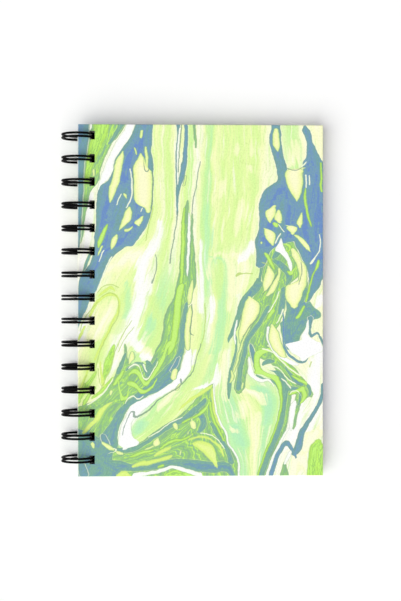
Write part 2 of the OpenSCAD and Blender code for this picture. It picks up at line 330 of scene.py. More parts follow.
         (53.6, 18.4, 0.22), (53.7, 30.5, 0.33), (54.2, 36.6, 0.77), (54.2, 40.4, 0.55), (54, 44.2, 0.38),
         (54, 49.2, 0.19)),
        ((59, -3.5, 0.82), (58.9, 9.1, 0.93), (58.4, 18.2, 1.15), (57.7, 23.2, 1.35), (56.8, 27.5, 1.33),
         (55.6, 31.8, 1.03), (54.6, 35.5, 0.81), (54.2, 39.3, 0.46)),
        ((108.6, -3.5, 2.22), (108.6, 0.9, 2.25), (108.2, 5.8, 3.02), (108.2, 9.7, 3.12),
         (108.7, 12.1, 2.87), (109.4, 15.7, 2.7), (110.4, 19.5, 2.62), (111.3, 22.6, 2.7),
         (112, 26.1, 2.65), (112.7, 30.5, 3.1), (111.9, 32.4, 4.49), (110.9, 34.4, 6.93),
         (111.1, 36.7, 9.05), (111.2, 39.9, 10.63), (111.5, 42.9, 11.93), (111.5, 49.1, 12),
         (111.5, 55.2, 11.96), (111.1, 59.6, 11.84), (109.1, 62.9, 8.29), (105.1, 65.7, 4.81),
         (101.9, 68.4, 3.67), (101.1, 71.2, 3.32), (100.7, 73.9, 2.97), (100.1, 76.1, 2.4)),
        ((124.7, 1.2, 0.96), (125.1, 3.1, 1.74), (126.2, 5.8, 1.58), (126.9, 9.1, 1.43),
         (127.9, 12.1, 1.85), (128.6, 15.2, 2.62), (129.3, 18.3, 3.86), (129.1, 20.1, 5.13),
         (130, 24.5, 6), (130.9, 30.5, 7.41), (130.3, 36.6, 7.9), (129.5, 41.5, 8.68),
         (128.4, 49.1, 9.76), (127.3, 55.2, 10.92), (127.3, 59.6, 10.88), (128.4, 63.5, 9.63),
         (129, 66.8, 9.14), (129.9, 70.6, 8.2), (130.5, 73.7, 7.66), (131, 76.6, 6.12),
         (131.2, 79.9, 4.94), (130.9, 83.2, 4.07), (130.3, 86, 3.26), (129.5, 89.1, 2.58),
         (127.6, 93.4, 1.43), (125.9, 96.4, 0.98)),
        ((127.8, 106.3, 1.32), (127.4, 110.7, 0.77), (127.2, 114.5, 0.66), (128.1, 116.4, 0.55),
         (129.8, 115.3, 0.49), (131.2, 114.4, 0.49), (132.8, 116.4, 0.49), (135.5, 122.2, 0.49)),
        ((113, 118.4, 0.99), (113.3, 121.1, 0.66), (114.9, 125, 0.6), (118.6, 128.7, 0.6),
         (121.3, 130.2, 0.55), (123.7, 130.2, 0.49), (125.7, 128.2, 0.44), (126.8, 125.7, 0.22)),
        ((2.1, 187, 1.65), (3.2, 191.4, 2.2)),
        ((94.9, 121.1, 0.66), (96, 127.1, 1.1), (97.1, 132.1, 0.55)),
        ((134.3, 142.5, 0.82), (133.6, 150.2, 0.93), (131.2, 155.7, 0.93), (128.7, 159.5, 0.93),
         (126.5, 162.8, 1.04), (124.6, 165.6, 1.26), (122.9, 168.9, 1.59), (121.8, 173.3, 1.7),
         (120.9, 177.1, 1.81), (119.1, 180.4, 1.65)),
        ((119.1, 181.5, 0.88), (117.2, 178.4, 1.26), (114.5, 175.2, 1.32), (111.6, 178, 1.37),
         (109.1, 182.6, 1.43), (106.9, 188.1, 1.43), (105.4, 194.7, 1.54)),
        ((13.7, 171.1, 1.32), (15.3, 175.5, 1.32)),
        ((54.8, 128.2, 0.66), (51.6, 134.8, 0.88)),
    ),
    "drops": (
        ((24.4, 15.2, 0.36), (22.9, 18.9, 1.81), (22.1, 22.6, 2.13), (21.4, 26.9, 2.1),
         (20.1, 31.8, 2.21), (18.8, 35.5, 2), (18, 39.2, 1.35), (17.5, 42.4, 0.33)),
        ((34.2, 16.1, 0.58), (34.2, 18.3, 1.64), (33.8, 21.4, 3.02), (34.1, 23.9, 3.89),
         (35.2, 25.9, 4.89), (35.5, 29.4, 5.02), (35.5, 34.4, 5), (35.5, 39.3, 4.91), (35.8, 42.3, 4.3),
         (36.6, 44, 2.8), (38.1, 45.5, 1.61), (38.4, 47.3, 1.14)),
        ((34.8, 3.6, 0.71), (34.5, 7.1, 0.6)),
        ((30.9, 13.2, 0.44), (31.8, 16.3, 0.33)),
        ((36.8, 12.4, 0.49), (37.3, 17.9, 0.82), (37.3, 24.5, 0.22)),
        ((28.1, 45.8, 0.68), (27.6, 48.5, 1.81), (26.5, 52.2, 2.2), (24.8, 54.7, 1.25), (22.6, 58, 0.18)),
        ((34.8, 50.7, 0.5), (33.6, 52.5, 1.34), (32.7, 54.1, 1.75), (33, 55.3, 0.67)),
        ((25.7, 58.1, 0.66), (27.9, 57.7, 0.71), (29.6, 56.3, 0.33)),
        ((20.8, 61.1, 0.67), (19.9, 62.9, 1.47), (19.3, 65.1, 1.46), (18.5, 68.1, 0.42)),
        ((13.1, 66.8, 0.49), (11.8, 70.1, 0.55), (11.1, 71.7, 0.22)),
        ((25.5, 38.5, 0.71), (26.4, 40.4, 0.27)),
        ((108.6, 3.1, 1.15), (108.5, 5.3, 1.84), (108.6, 9.1, 1.95), (108.9, 11.9, 1.51),
         (109.5, 14.3, 0.27)),
        ((121.8, 23.7, 0.78), (119, 25.3, 4.4), (118.7, 30.5, 4.67), (119.1, 34.9, 3.54),
         (119.8, 39.2, 1.8), (120, 41.7, 0.38)),
        ((107.2, 45.5, 1.09), (105.8, 47.5, 2.5), (105.4, 49.2, 2.69), (105.1, 51.4, 1.67),
         (105.2, 53.3, 0.41)),
        ((109.9, 47.8, 0.93), (109.7, 49.7, 1.92), (109.8, 51.9, 2.1), (110, 52.7, 1.33)),
        ((122.8, 48.4, 0.32), (122.2, 51.4, 1.15), (121.6, 53.9, 1.56), (121.8, 56, 0.55)),
        ((115.4, 55.4, 0.45), (117.4, 56.5, 2.06), (117.7, 58, 2.21), (117.7, 59.4, 0.93)),
        ((101.9, 56.7, 0.14), (104.5, 58.8, 1.88), (105.4, 60.7, 2.66), (105.9, 62.9, 2.13),
         (106.6, 65.7, 0.69)),
        ((118.9, 60.9, 0.44), (122.2, 63.1, 1.21), (124.9, 66, 1.43), (127.1, 68.8, 0.55)),
        ((100.7, 64.7, 0.49), (100.7, 65, 0.49)),
        ((118, 69, 1.26), (119.2, 71.7, 1.91), (120.4, 74.4, 1.61), (122.1, 76.6, 2.15),
         (123.2, 79.4, 2.39), (123.5, 83.2, 2.25), (123.3, 85.8, 2.11), (121.4, 87.4, 2.57),
         (119.8, 88.7, 4.37), (119, 90.9, 4.94), (118.4, 95.3, 4.28), (118.5, 98.6, 2.19)),
        ((104.4, 77.7, 0.67), (104.9, 79.9, 1.78), (104.8, 83.8, 2.72), (103.8, 87.6, 2.5),
         (102.8, 90.6, 1.04)),
        ((110.2, 79.1, 0.68), (109.8, 82.7, 0.83), (108.6, 86, 1.27), (106.9, 89.6, 1.54),
         (104.3, 93.4, 0.91)),
        ((62.1, 85.4, 0.38), (61.8, 88.7, 0.98), (61.2, 94.2, 1.31), (60.8, 98.1, 0.76)),
        ((61.7, 99.7, 0.43), (61, 102.4, 1.3), (60.5, 107.4, 1.58), (60, 112.9, 1.59),
         (59.7, 118.4, 1.48), (59.8, 122.8, 1.1)),
        ((94, 95.1, 0.81), (95, 97, 2.98), (95.4, 98.9, 4.33), (94.8, 102.4, 4.57), (93.7, 105.7, 3.98),
         (92.5, 109, 3.25), (91.1, 112.6, 2.51), (89.4, 117, 1.1), (88.8, 120, 0.22)),
        ((106.5, 110.7, 1.07), (107.3, 114, 2.64), (107.7, 117.3, 3.05), (108.8, 120.6, 2.94),
         (110.5, 123.9, 2.52), (112.2, 126.6, 1.62)),
        ((52.9, 135.1, 1.43), (52.2, 138.6, 1.7)),
        ((29.3, 125.5, 0.99), (29, 128.2, 1.54), (27.7, 131, 0.55)),
        ((53.3, 165, 1.32), (53.5, 166.1, 1.1)),
        ((62.8, 164.3, 1.65), (63.1, 165.6, 1.65)),
        ((60.1, 168.5, 0.38), (59.9, 169.6, 0.38)),
        ((61.7, 170.2, 0.33), (61.5, 170.8, 0.33)),
        ((62.3, 161.7, 0.44), (62.1, 162.5, 0.44)),
        ((43.3, 172.7, 0.88), (42.8, 174.9, 1.98)),
        ((8.1, 175.2, 1.1), (8.2, 176.9, 0.55)),
        ((13.5, 174.9, 0.66), (16.4, 176.9, 1.15), (19.4, 178.2, 0.55)),
        ((21.7, 179.9, 0.93), (24.1, 180.4, 0.71)),
        ((18.1, 146.7, 0.88), (17.8, 147.9, 0.71)),
        ((90.3, 142, 0.55), (89.8, 144.7, 0.49)),
        ((84.2, 135.4, 0.55), (84.5, 138.9, 0.82), (83.4, 141.4, 0.38)),
        ((94.4, 111.8, 0.27), (91.3, 117.3, 0.44), (88.9, 123.9, 0.55), (86.9, 131.5, 0.6),
         (85.4, 135.9, 0.44)),
        ((56.1, 179.1, 0.44), (55.9, 181, 0.44)),
        ((58.6, 28.3, 0.49), (57.8, 33.3, 0.49)),
        ((55.4, 142.3, 0.55), (54, 144.7, 0.88)),
        ((36.5, 178.5, 0.33), (39.5, 177.4, 0.55), (41.7, 176.6, 0.27)),
        ((8.7, 25, 0.71), (8.5, 27.8, 0.66)),
    ),
    "lime_bands": (
        ((12.6, -5.7, 4.39), (12.4, 3.1, 3.84), (10.2, 9.7, 3.51), (8, 16.3, 2.75), (6.2, 22.8, 1.76),
         (4.7, 31.6, 0.88)),
        ((131.6, 174.6, 1.73), (131.3, 176.6, 3.73), (131.6, 179.9, 5.04), (131.8, 185.3, 5.38),
         (131.3, 195.2, 5.87)),
        ((48.3, 193, 1.65), (55.9, 191.4, 1.87), (62.5, 193.6, 1.65)),
        ((19.4, 121.1, 0.55), (17.7, 126.6, 1.65), (16.3, 132.1, 2.09), (14.8, 137.6, 1.32),
         (13.3, 140.9, 0.44)),
        ((9.3, 135.9, 0.44), (6.9, 139.8, 0.99), (3.8, 144.2, 1.54), (0.5, 149.7, 1.65)),
        ((18.6, 139.2, 0.44), (14.2, 144.7, 0.77), (8.7, 149.7, 0.66)),
    ),
    "lime_lines": (
        ((3.6, 110.7, 0.33), (1.6, 115.1, 0.66), (-0.3, 118.9, 0.49)),
        ((6.3, 105.4, 0.49), (7.7, 101.8, 0.77), (9.7, 98.2, 0.82), (13.1, 94.9, 0.82),
         (17.2, 93.1, 0.66), (20, 93.5, 0.55), (22.2, 96.2, 0.49), (22.7, 99.1, 0.49), (22, 102.3, 0.49),
         (20, 105.9, 0.49), (18.2, 110, 0.55), (16.4, 114, 0.66), (13.7, 118.9, 0.55),
         (10.9, 124.4, 0.49), (9.3, 129.3, 0.38)),
        ((11.3, 93.6, 0.33), (15, 90.9, 0.66), (17.7, 89.5, 0.82), (19.7, 90.9, 0.44)),
        ((3.3, 169, 0.66), (6.5, 165, 1.1), (10.2, 161.2, 1.21), (13.7, 156, 1.1), (17.8, 152.6, 0.44)),
        ((55.4, 156.2, 0.33), (60.1, 152.2, 0.71), (66.9, 147.5, 0.82), (73.1, 143.6, 0.55)),
        ((73.7, 145.3, 0.71), (74.3, 153.5, 0.82), (76, 161.2, 0.77), (78.8, 166.7, 0.55)),
        ((63.4, 175.2, 0.88), (66.4, 176, 2.31), (69.9, 178, 3.07), (73, 180.4, 2.96),
         (74.9, 183.5, 1.98), (75.5, 185.3, 0.77)),
        ((60.1, 173, 0.22), (65.2, 171.5, 0.38), (70.2, 171.5, 0.44), (74.2, 174.4, 0.44),
         (77.4, 177.1, 0.6), (79.2, 180.2, 0.71)),
        ((29.8, 187.5, 0.49), (34, 186.1, 0.99), (39.5, 185.3, 0.93), (45, 184.2, 0.77),
         (48.3, 183.4, 0.88), (51, 182.3, 0.66)),
        ((41.9, 181.7, 0.44), (46.1, 179.5, 0.99), (50.5, 177.5, 0.49)),
        ((21.4, 193, 1.1), (25, 191.6, 1.65), (27.9, 192.7, 0.88)),
        ((6.5, 130.4, 0.27), (4.3, 137, 0.49), (1, 144.7, 0.6)),
        ((12, 130.4, 0.27), (12.6, 137, 0.55), (13.9, 143.1, 0.77)),
    ),
    "lime_drops": (
        ((15.9, 55, 0.33), (14.5, 58.5, 0.99), (12.3, 63.5, 1.15), (11.2, 67.3, 0.44)),
        ((108, 54.6, 1.21), (108.3, 55.2, 0.99)),
        ((133.2, 20.6, 0.33), (133.5, 27.8, 0.44), (133.1, 33.8, 0.55), (133.9, 36.6, 0.49)),
        ((124.7, 34.9, 0.22), (124.5, 40.4, 0.66), (126.1, 48.6, 0.6), (127.9, 55.8, 0.22)),
        ((132.1, 75, 0.6), (131.4, 77.7, 0.88), (130.4, 79.7, 0.44)),
        ((130.1, 79.9, 0.27), (127.9, 86, 0.38), (126.3, 92, 0.44), (125, 97, 0.44)),
        ((124, 99.7, 0.55), (121.6, 104.1, 0.77), (120.4, 105.7, 0.82)),
        ((118.5, 79.9, 0.66), (116.9, 81.6, 1.32), (115.2, 81, 0.66)),
        ((102.1, 124.2, 1.87), (99.1, 126.1, 1.87), (98, 130.4, 1.54), (98.8, 134.8, 1.65),
         (101.5, 137.2, 1.65), (105.4, 137.9, 1.43), (108.4, 140.3, 1.43), (110.3, 144.2, 1.1),
         (111.3, 149.1, 0.71), (111.4, 154.6, 0.55), (110.5, 160.1, 0.49), (108.6, 166.1, 0.44),
         (105.7, 173.3, 0.44), (102.9, 179.9, 0.44), (100.6, 186.4, 0.44), (98.4, 193.6, 0.44)),
        ((107, 125, 0.55), (110.8, 129.3, 0.66), (114.1, 131.5, 0.55), (118, 135.4, 0.66),
         (121.8, 137.9, 0.55)),
        ((116.3, 148, 0.55), (119.6, 146.7, 0.77), (123.5, 145.3, 1.32), (124.3, 149.1, 1.21),
         (122.4, 152.4, 0.77)),
        ((117.4, 138.1, 0.44), (121.3, 140, 0.88), (125.1, 142.3, 0.88)),
        ((58.1, 45.9, 0.33), (57.4, 56.9, 0.77), (57, 69, 0.93), (56.7, 79.9, 0.82), (56.2, 86.5, 0.77)),
        ((56.5, 88.7, 1.65), (54.8, 96.4, 1.76), (54, 104.1, 1.76), (53.2, 110.7, 1.65),
         (52.4, 117.3, 1.54), (51.2, 122.2, 1.54), (49.6, 126.1, 0.55)),
        ((55.6, 100.8, 0.38), (55.1, 108.5, 0.44), (53.7, 115.1, 0.33)),
        ((51.9, 119.5, 0.77), (48.8, 121.7, 1.1), (46.9, 127.1, 0.99), (43.9, 133.2, 0.88),
         (39.8, 139.4, 0.99), (37.1, 142, 1.32), (34, 138.1, 1.43), (30.7, 135.2, 1.32),
         (28.2, 136.7, 0.88)),
        ((27.6, 142, 1.1), (31, 142.8, 1.43), (35.4, 146.6, 1.1), (39.1, 145.3, 0.66), (43, 140.1, 0.44)),
        ((23, 146.9, 1.43), (25.2, 150.2, 1.1), (27.4, 146.9, 0.88)),
        ((19.9, 142.5, 0.88), (21.9, 139.2, 0.88), (24.4, 135.4, 0.66)),
        ((72.2, 152.4, 0.66), (73, 157.9, 0.66), (74.9, 163.4, 0.6), (77.7, 168.9, 0.55),
         (79.6, 173.3, 0.55)),
        ((57, 163.4, 0.44), (64.7, 160.1, 0.55), (69.1, 156.8, 0.77), (71.3, 152.4, 0.55)),
        ((45, 177.7, 0.55), (51.6, 173.8, 0.77), (58.1, 172.2, 0.55), (62.5, 170, 0.66)),
        ((28.5, 182, 0.44), (35.1, 180.2, 0.77), (40.6, 179, 0.44)),
        ((3.2, 142.5, 0.44), (1.6, 148, 0.77), (0.5, 152.4, 0.77)),
        ((8.7, 144.7, 0.66), (5.4, 149.7, 0.77), (3.2, 153.5, 0.55)),
        ((106.5, 102.4, 1.1), (104.3, 106.3, 0.55), (107.5, 100.2, 0.33)),
        ((43.9, 187.9, 0.44), (46.6, 187.3, 0.6)),
        ((103.2, 71.2, 0.88), (105.7, 75.5, 0.88), (107.5, 78.8, 0.55)),
        ((113, 65.7, 0.77), (116.3, 67.9, 0.66), (114.7, 70.1, 0.55)),
    ),
    "white_bands": (
        ((29.3, -4.6, 2.22), (28.4, 1.4, 2.23), (26.6, 5.5, 2.46), (24.2, 9.1, 2.66), (22.2, 12.1, 2.35),
         (20.3, 15.2, 2.1), (18.4, 18.3, 1.77), (17.2, 21.4, 2.16), (16.5, 24.5, 2.53),
         (15.6, 26.9, 2.44), (14.5, 29.4, 1.99), (13, 31.8, 1.28), (11.6, 33.8, 0.58), (10.8, 36, 0.21)),
        ((6.8, -3.5, 0.49), (6.9, 1.4, 0.49), (6.4, 3.6, 0.16)),
        ((55.7, 2, 0.49), (54.7, 8.6, 0.49), (54.5, 18.4, 0.44), (54.1, 32.7, 0.22)),
        ((60.8, 48.6, 0.22), (60.7, 55.2, 0.66), (60.2, 67.3, 0.71), (59.9, 76.6, 0.66),
         (59.6, 83.2, 0.14)),
        ((111.3, 62.4, 0.22), (111.2, 65.1, 1.2), (110.8, 67.6, 2.25), (111, 69.3, 2.24),
         (112.7, 70.6, 1.29), (113.9, 72.2, 1.13), (115.2, 74.2, 1.12), (116.2, 76.6, 1.09),
         (116.7, 78.8, 0.92), (116.8, 80.2, 0.44)),
        ((60.4, 123.9, 1.58), (59.9, 127.7, 2.28), (59.2, 131.3, 2.69), (58.5, 134.8, 2.9),
         (56.8, 138.1, 2.62), (54, 141.3, 1.91), (51.1, 143.6, 1.72), (46.8, 146.6, 1.52),
         (40.7, 150, 1.73), (34.5, 153.7, 2.94), (32.1, 156.2, 3.37), (30.3, 158.7, 2.97),
         (29.1, 160.4, 2.28), (27.3, 162.5, 2.13), (26.4, 165.6, 2.55), (26, 168.9, 3.26),
         (26.2, 172.2, 4.14), (27.5, 174.4, 5.65), (27, 176, 4.38), (26, 177.4, 1.15)),
        ((126.4, 107.1, 0.16), (126.2, 109.6, 0.66), (125.8, 112.9, 1.18), (124.7, 116.2, 2.14),
         (126.1, 118.9, 4.5), (124, 120.6, 9.77), (125.4, 123.3, 9.56), (124.6, 126.1, 5.73),
         (123.7, 128.2, 1.8)),
        ((66.9, 192.3, 1.1), (61.4, 190.6, 1.1), (55.9, 188.9, 1.1), (51.6, 188, 0.77),
         (46.1, 189.7, 0.88), (38.4, 191.2, 0.99), (30.7, 192.7, 1.43)),
        ((93.6, 127.7, 0.27), (94.2, 132.6, 0.88), (94.7, 136.5, 1.43), (97.1, 139.4, 1.1),
         (101, 140.7, 0.77), (104.3, 140.5, 0.6), (107, 143.6, 0.27)),
        ((118.8, 152.1, 0.77), (118.1, 154, 1.61), (117.5, 158.8, 1.5), (117, 165, 0.96),
         (117, 168, 0.38)),
        ((115.2, 167.2, 0.44), (113.4, 170, 0.55), (110.5, 176, 0.66), (107.5, 182, 0.66),
         (104.6, 189.7, 0.66), (103.4, 194.7, 0.66)),
        ((74.3, 142.5, 0.33), (75, 152.4, 0.44), (76.8, 160.6, 0.49), (79.4, 166.5, 0.6),
         (81.5, 169.8, 0.6), (82.2, 175.2, 0.55), (85, 179.1, 0.55), (87.2, 183.1, 0.55),
         (87.8, 194.1, 0.55)),
        ((104.3, 111.2, 0.66), (103.8, 116.2, 0.55), (105.1, 120.6, 0.55), (108.1, 124.4, 0.88),
         (112.5, 128.2, 1.1), (117.4, 131, 1.32)),
        ((87, 107.4, 0.38), (86.1, 113.4, 0.49), (86.4, 120.6, 0.33)),
        ((113.6, 186.4, 0.55), (116.3, 179.9, 0.88)),
    ),
    "pale_lines": (
        ((28.4, 24.5, 0.25), (29.4, 30.5, 0.33), (29.4, 38.2, 0.33), (27.9, 43.2, 0.3),
         (26.6, 45.9, 0.22)),
        ((23.3, 38.2, 0.22), (21.2, 44.2, 0.19)),
        ((35.3, 45.8, 0.22), (34.3, 47.8, 0.16)),
        ((18.4, 72.7, 0.27), (14.2, 81, 0.3), (9.8, 91.5, 0.33), (6.8, 97, 0.33), (2.7, 106.8, 0.33),
         (-0.1, 112.9, 0.33)),
        ((14.1, 69, 0.22), (11.6, 75, 0.22)),
        ((125.1, 27.5, 0.33), (125.1, 34.4, 0.27)),
        ((127, 27.8, 0.22), (126.8, 32.7, 0.27)),
        ((132.3, 60.2, 0.19), (132.8, 67.6, 0.27), (130.9, 71.7, 0.27), (127.9, 76.1, 0.6)),
        ((109.7, 54.7, 0.16), (113, 58.5, 0.19)),
        ((110.8, 59.4, 0.27), (108.3, 65.1, 0.33)),
        ((112.4, 101.3, 0.33), (110.8, 105.7, 0.27), (108.9, 109, 0.27)),
        ((110.2, 91.5, 0.27), (107.5, 98.1, 0.27), (104.3, 103, 0.27)),
        ((18.6, 140, 0.27), (15.9, 144.7, 0.33), (9.6, 151.1, 0.33), (4.9, 153.7, 0.22)),
        ((26.1, 152.4, 0.27), (29.9, 148.8, 0.38), (32.3, 150.4, 0.33), (35.6, 149.1, 0.22)),
        ((111.4, 139.8, 0.27), (116.8, 144.6, 0.33)),
        ((101, 123.3, 0.27), (105.9, 124.4, 0.33), (112.5, 131, 0.33), (119.6, 136.3, 0.33),
         (124.6, 138.1, 0.33)),
        ((103.2, 133, 0.22), (109.2, 133.7, 0.27), (114.1, 139.2, 0.27), (119.6, 142.5, 0.22)),
        ((17.3, 177.3, 0.22), (20.8, 178.3, 0.33), (16.7, 180.2, 0.22)),
        ((122.9, 22.6, 0.22), (125.6, 20.3, 0.33)),
        ((35.8, 131.5, 0.38), (37.5, 135.7, 0.27)),
        ((27.4, 133.5, 0.33), (32.3, 131.8, 0.38), (36.7, 139.7, 0.33), (40, 136.7, 0.27),
         (43.6, 130.4, 0.22)),
        ((38.4, 171.6, 0.16), (43.9, 168.3, 0.22), (50.5, 163.7, 0.22), (57, 160.4, 0.16)),
        ((66.9, 169.2, 0.22), (72.4, 170.3, 0.22), (77.4, 174.4, 0.22), (80.1, 177.7, 0.22)),
        ((116.3, 149.7, 0.22), (116.7, 147.2, 0.22), (120.7, 146.6, 0.22), (122.2, 149.1, 0.16)),
    ),
    "dark_lines": (
        ((56.9, -3.5, 0.27), (55.7, 9.1, 0.22), (55.2, 18.4, 0.22), (54.5, 26.1, 0.22)),
        ((54.1, 47.5, 0.27), (53.7, 55.2, 0.22), (52.3, 61.3, 0.22), (51.3, 67.9, 0.22),
         (50.5, 76.1, 0.27)),
        ((66.8, 20.1, 0.16), (65.3, 29.4, 0.19), (64.3, 35.5, 0.19), (62.8, 42.9, 0.22),
         (62.5, 49.2, 0.22)),
        ((40.9, 26.1, 0.22), (40.9, 39.3, 0.22), (40.4, 46.4, 0.22)),
        ((35.4, 15.2, 0.22), (37.2, 25.8, 0.27), (39.1, 17.9, 0.22)),
        ((29.9, 22.8, 0.16), (30.1, 30.5, 0.19), (30, 39.3, 0.19)),
        ((42.2, 71.2, 0.16), (42.9, 75.5, 0.22), (41.7, 82.7, 0.22), (40.4, 87.1, 0.38)),
        ((114.7, 23.9, 0.16), (119.3, 24.8, 0.19), (123.5, 22.6, 0.22), (125.3, 20.9, 0.22)),
        ((89.4, 104.6, 0.22), (86.7, 113.4, 0.22)),
        ((62.4, 98.6, 0.22), (62.2, 108.5, 0.22), (61.5, 114.5, 0.33), (62.8, 115.6, 0.27)),
        ((67.2, 120, 0.16), (64.7, 128.8, 0.19), (62.3, 136.3, 0.22), (59.8, 139.4, 0.27),
         (53.7, 144.5, 0.27), (44.2, 151.1, 0.27), (37.3, 157.7, 0.33), (32.3, 160.4, 0.49),
         (30.5, 160.1, 0.49), (30.7, 157.8, 0.44), (29, 157.6, 0.22), (26.5, 162.8, 0.16),
         (24.1, 170.5, 0.16)),
        ((56.2, 139.7, 0.49), (56.5, 141.6, 0.38)),
        ((122.2, 75.5, 0.16), (122.9, 78.8, 0.19), (121.5, 87.6, 0.16)),
        ((101, 93.1, 0.19), (107, 86, 0.19), (109.2, 79.9, 0.16)),
        ((99.1, 105.2, 0.16), (94.4, 110.7, 0.19), (90.5, 116.7, 0.16)),
        ((113, 137, 0.22), (117.4, 140.9, 0.22), (122.4, 143.6, 0.22)),
        ((111.9, 168.9, 0.16), (109, 175.5, 0.16), (105.9, 182.6, 0.16)),
    ),
    "olive_lines": (
        ((11.1, 97, 0.16), (5.4, 103.5, 0.19), (1, 113.4, 0.16)),
        ((13.1, 94.2, 0.16), (18.6, 92.6, 0.16), (22.1, 97, 0.19), (22.2, 103, 0.19), (17.5, 112.9, 0.19),
         (13.1, 121.1, 0.22), (10.4, 130.4, 0.19), (9.3, 135.9, 0.16)),
        ((10.4, 92, 0.16), (15.3, 88.2, 0.16), (21.9, 89.3, 0.16)),
        ((29.2, 107.6, 0.16), (24.9, 114.5, 0.19), (20.5, 123.3, 0.19), (19.2, 127.7, 0.16)),
        ((30.9, 110.7, 0.14), (25.2, 118.4, 0.16), (21.7, 125, 0.16)),
        ((18.6, 130.4, 0.16), (15.9, 137, 0.16), (12.6, 144.7, 0.19), (8.2, 149.1, 0.16)),
        ((10.9, 133.7, 0.22), (11.5, 140.3, 0.16), (13.5, 144.7, 0.16)),
        ((86.9, 82.5, 0.66), (87.8, 81.9, 0.71), (91.1, 81.6, 0.19), (95.5, 81.8, 0.19)),
        ((41.1, 44.8, 0.16), (38.9, 54.7, 0.19), (36.7, 63.5, 0.16)),
        ((69.4, 98.1, 0.16), (69.6, 107.4, 0.22), (68.8, 116.2, 0.16), (67.3, 120, 0.16)),
        ((127.9, 130.4, 0.27), (127.1, 133.2, 0.27)),
        ((104.8, 76.6, 0.16), (101, 75.5, 0.16)),
        ((4.3, 137, 0.22), (2.1, 144.7, 0.22), (1, 150.2, 0.22)),
    ),
}

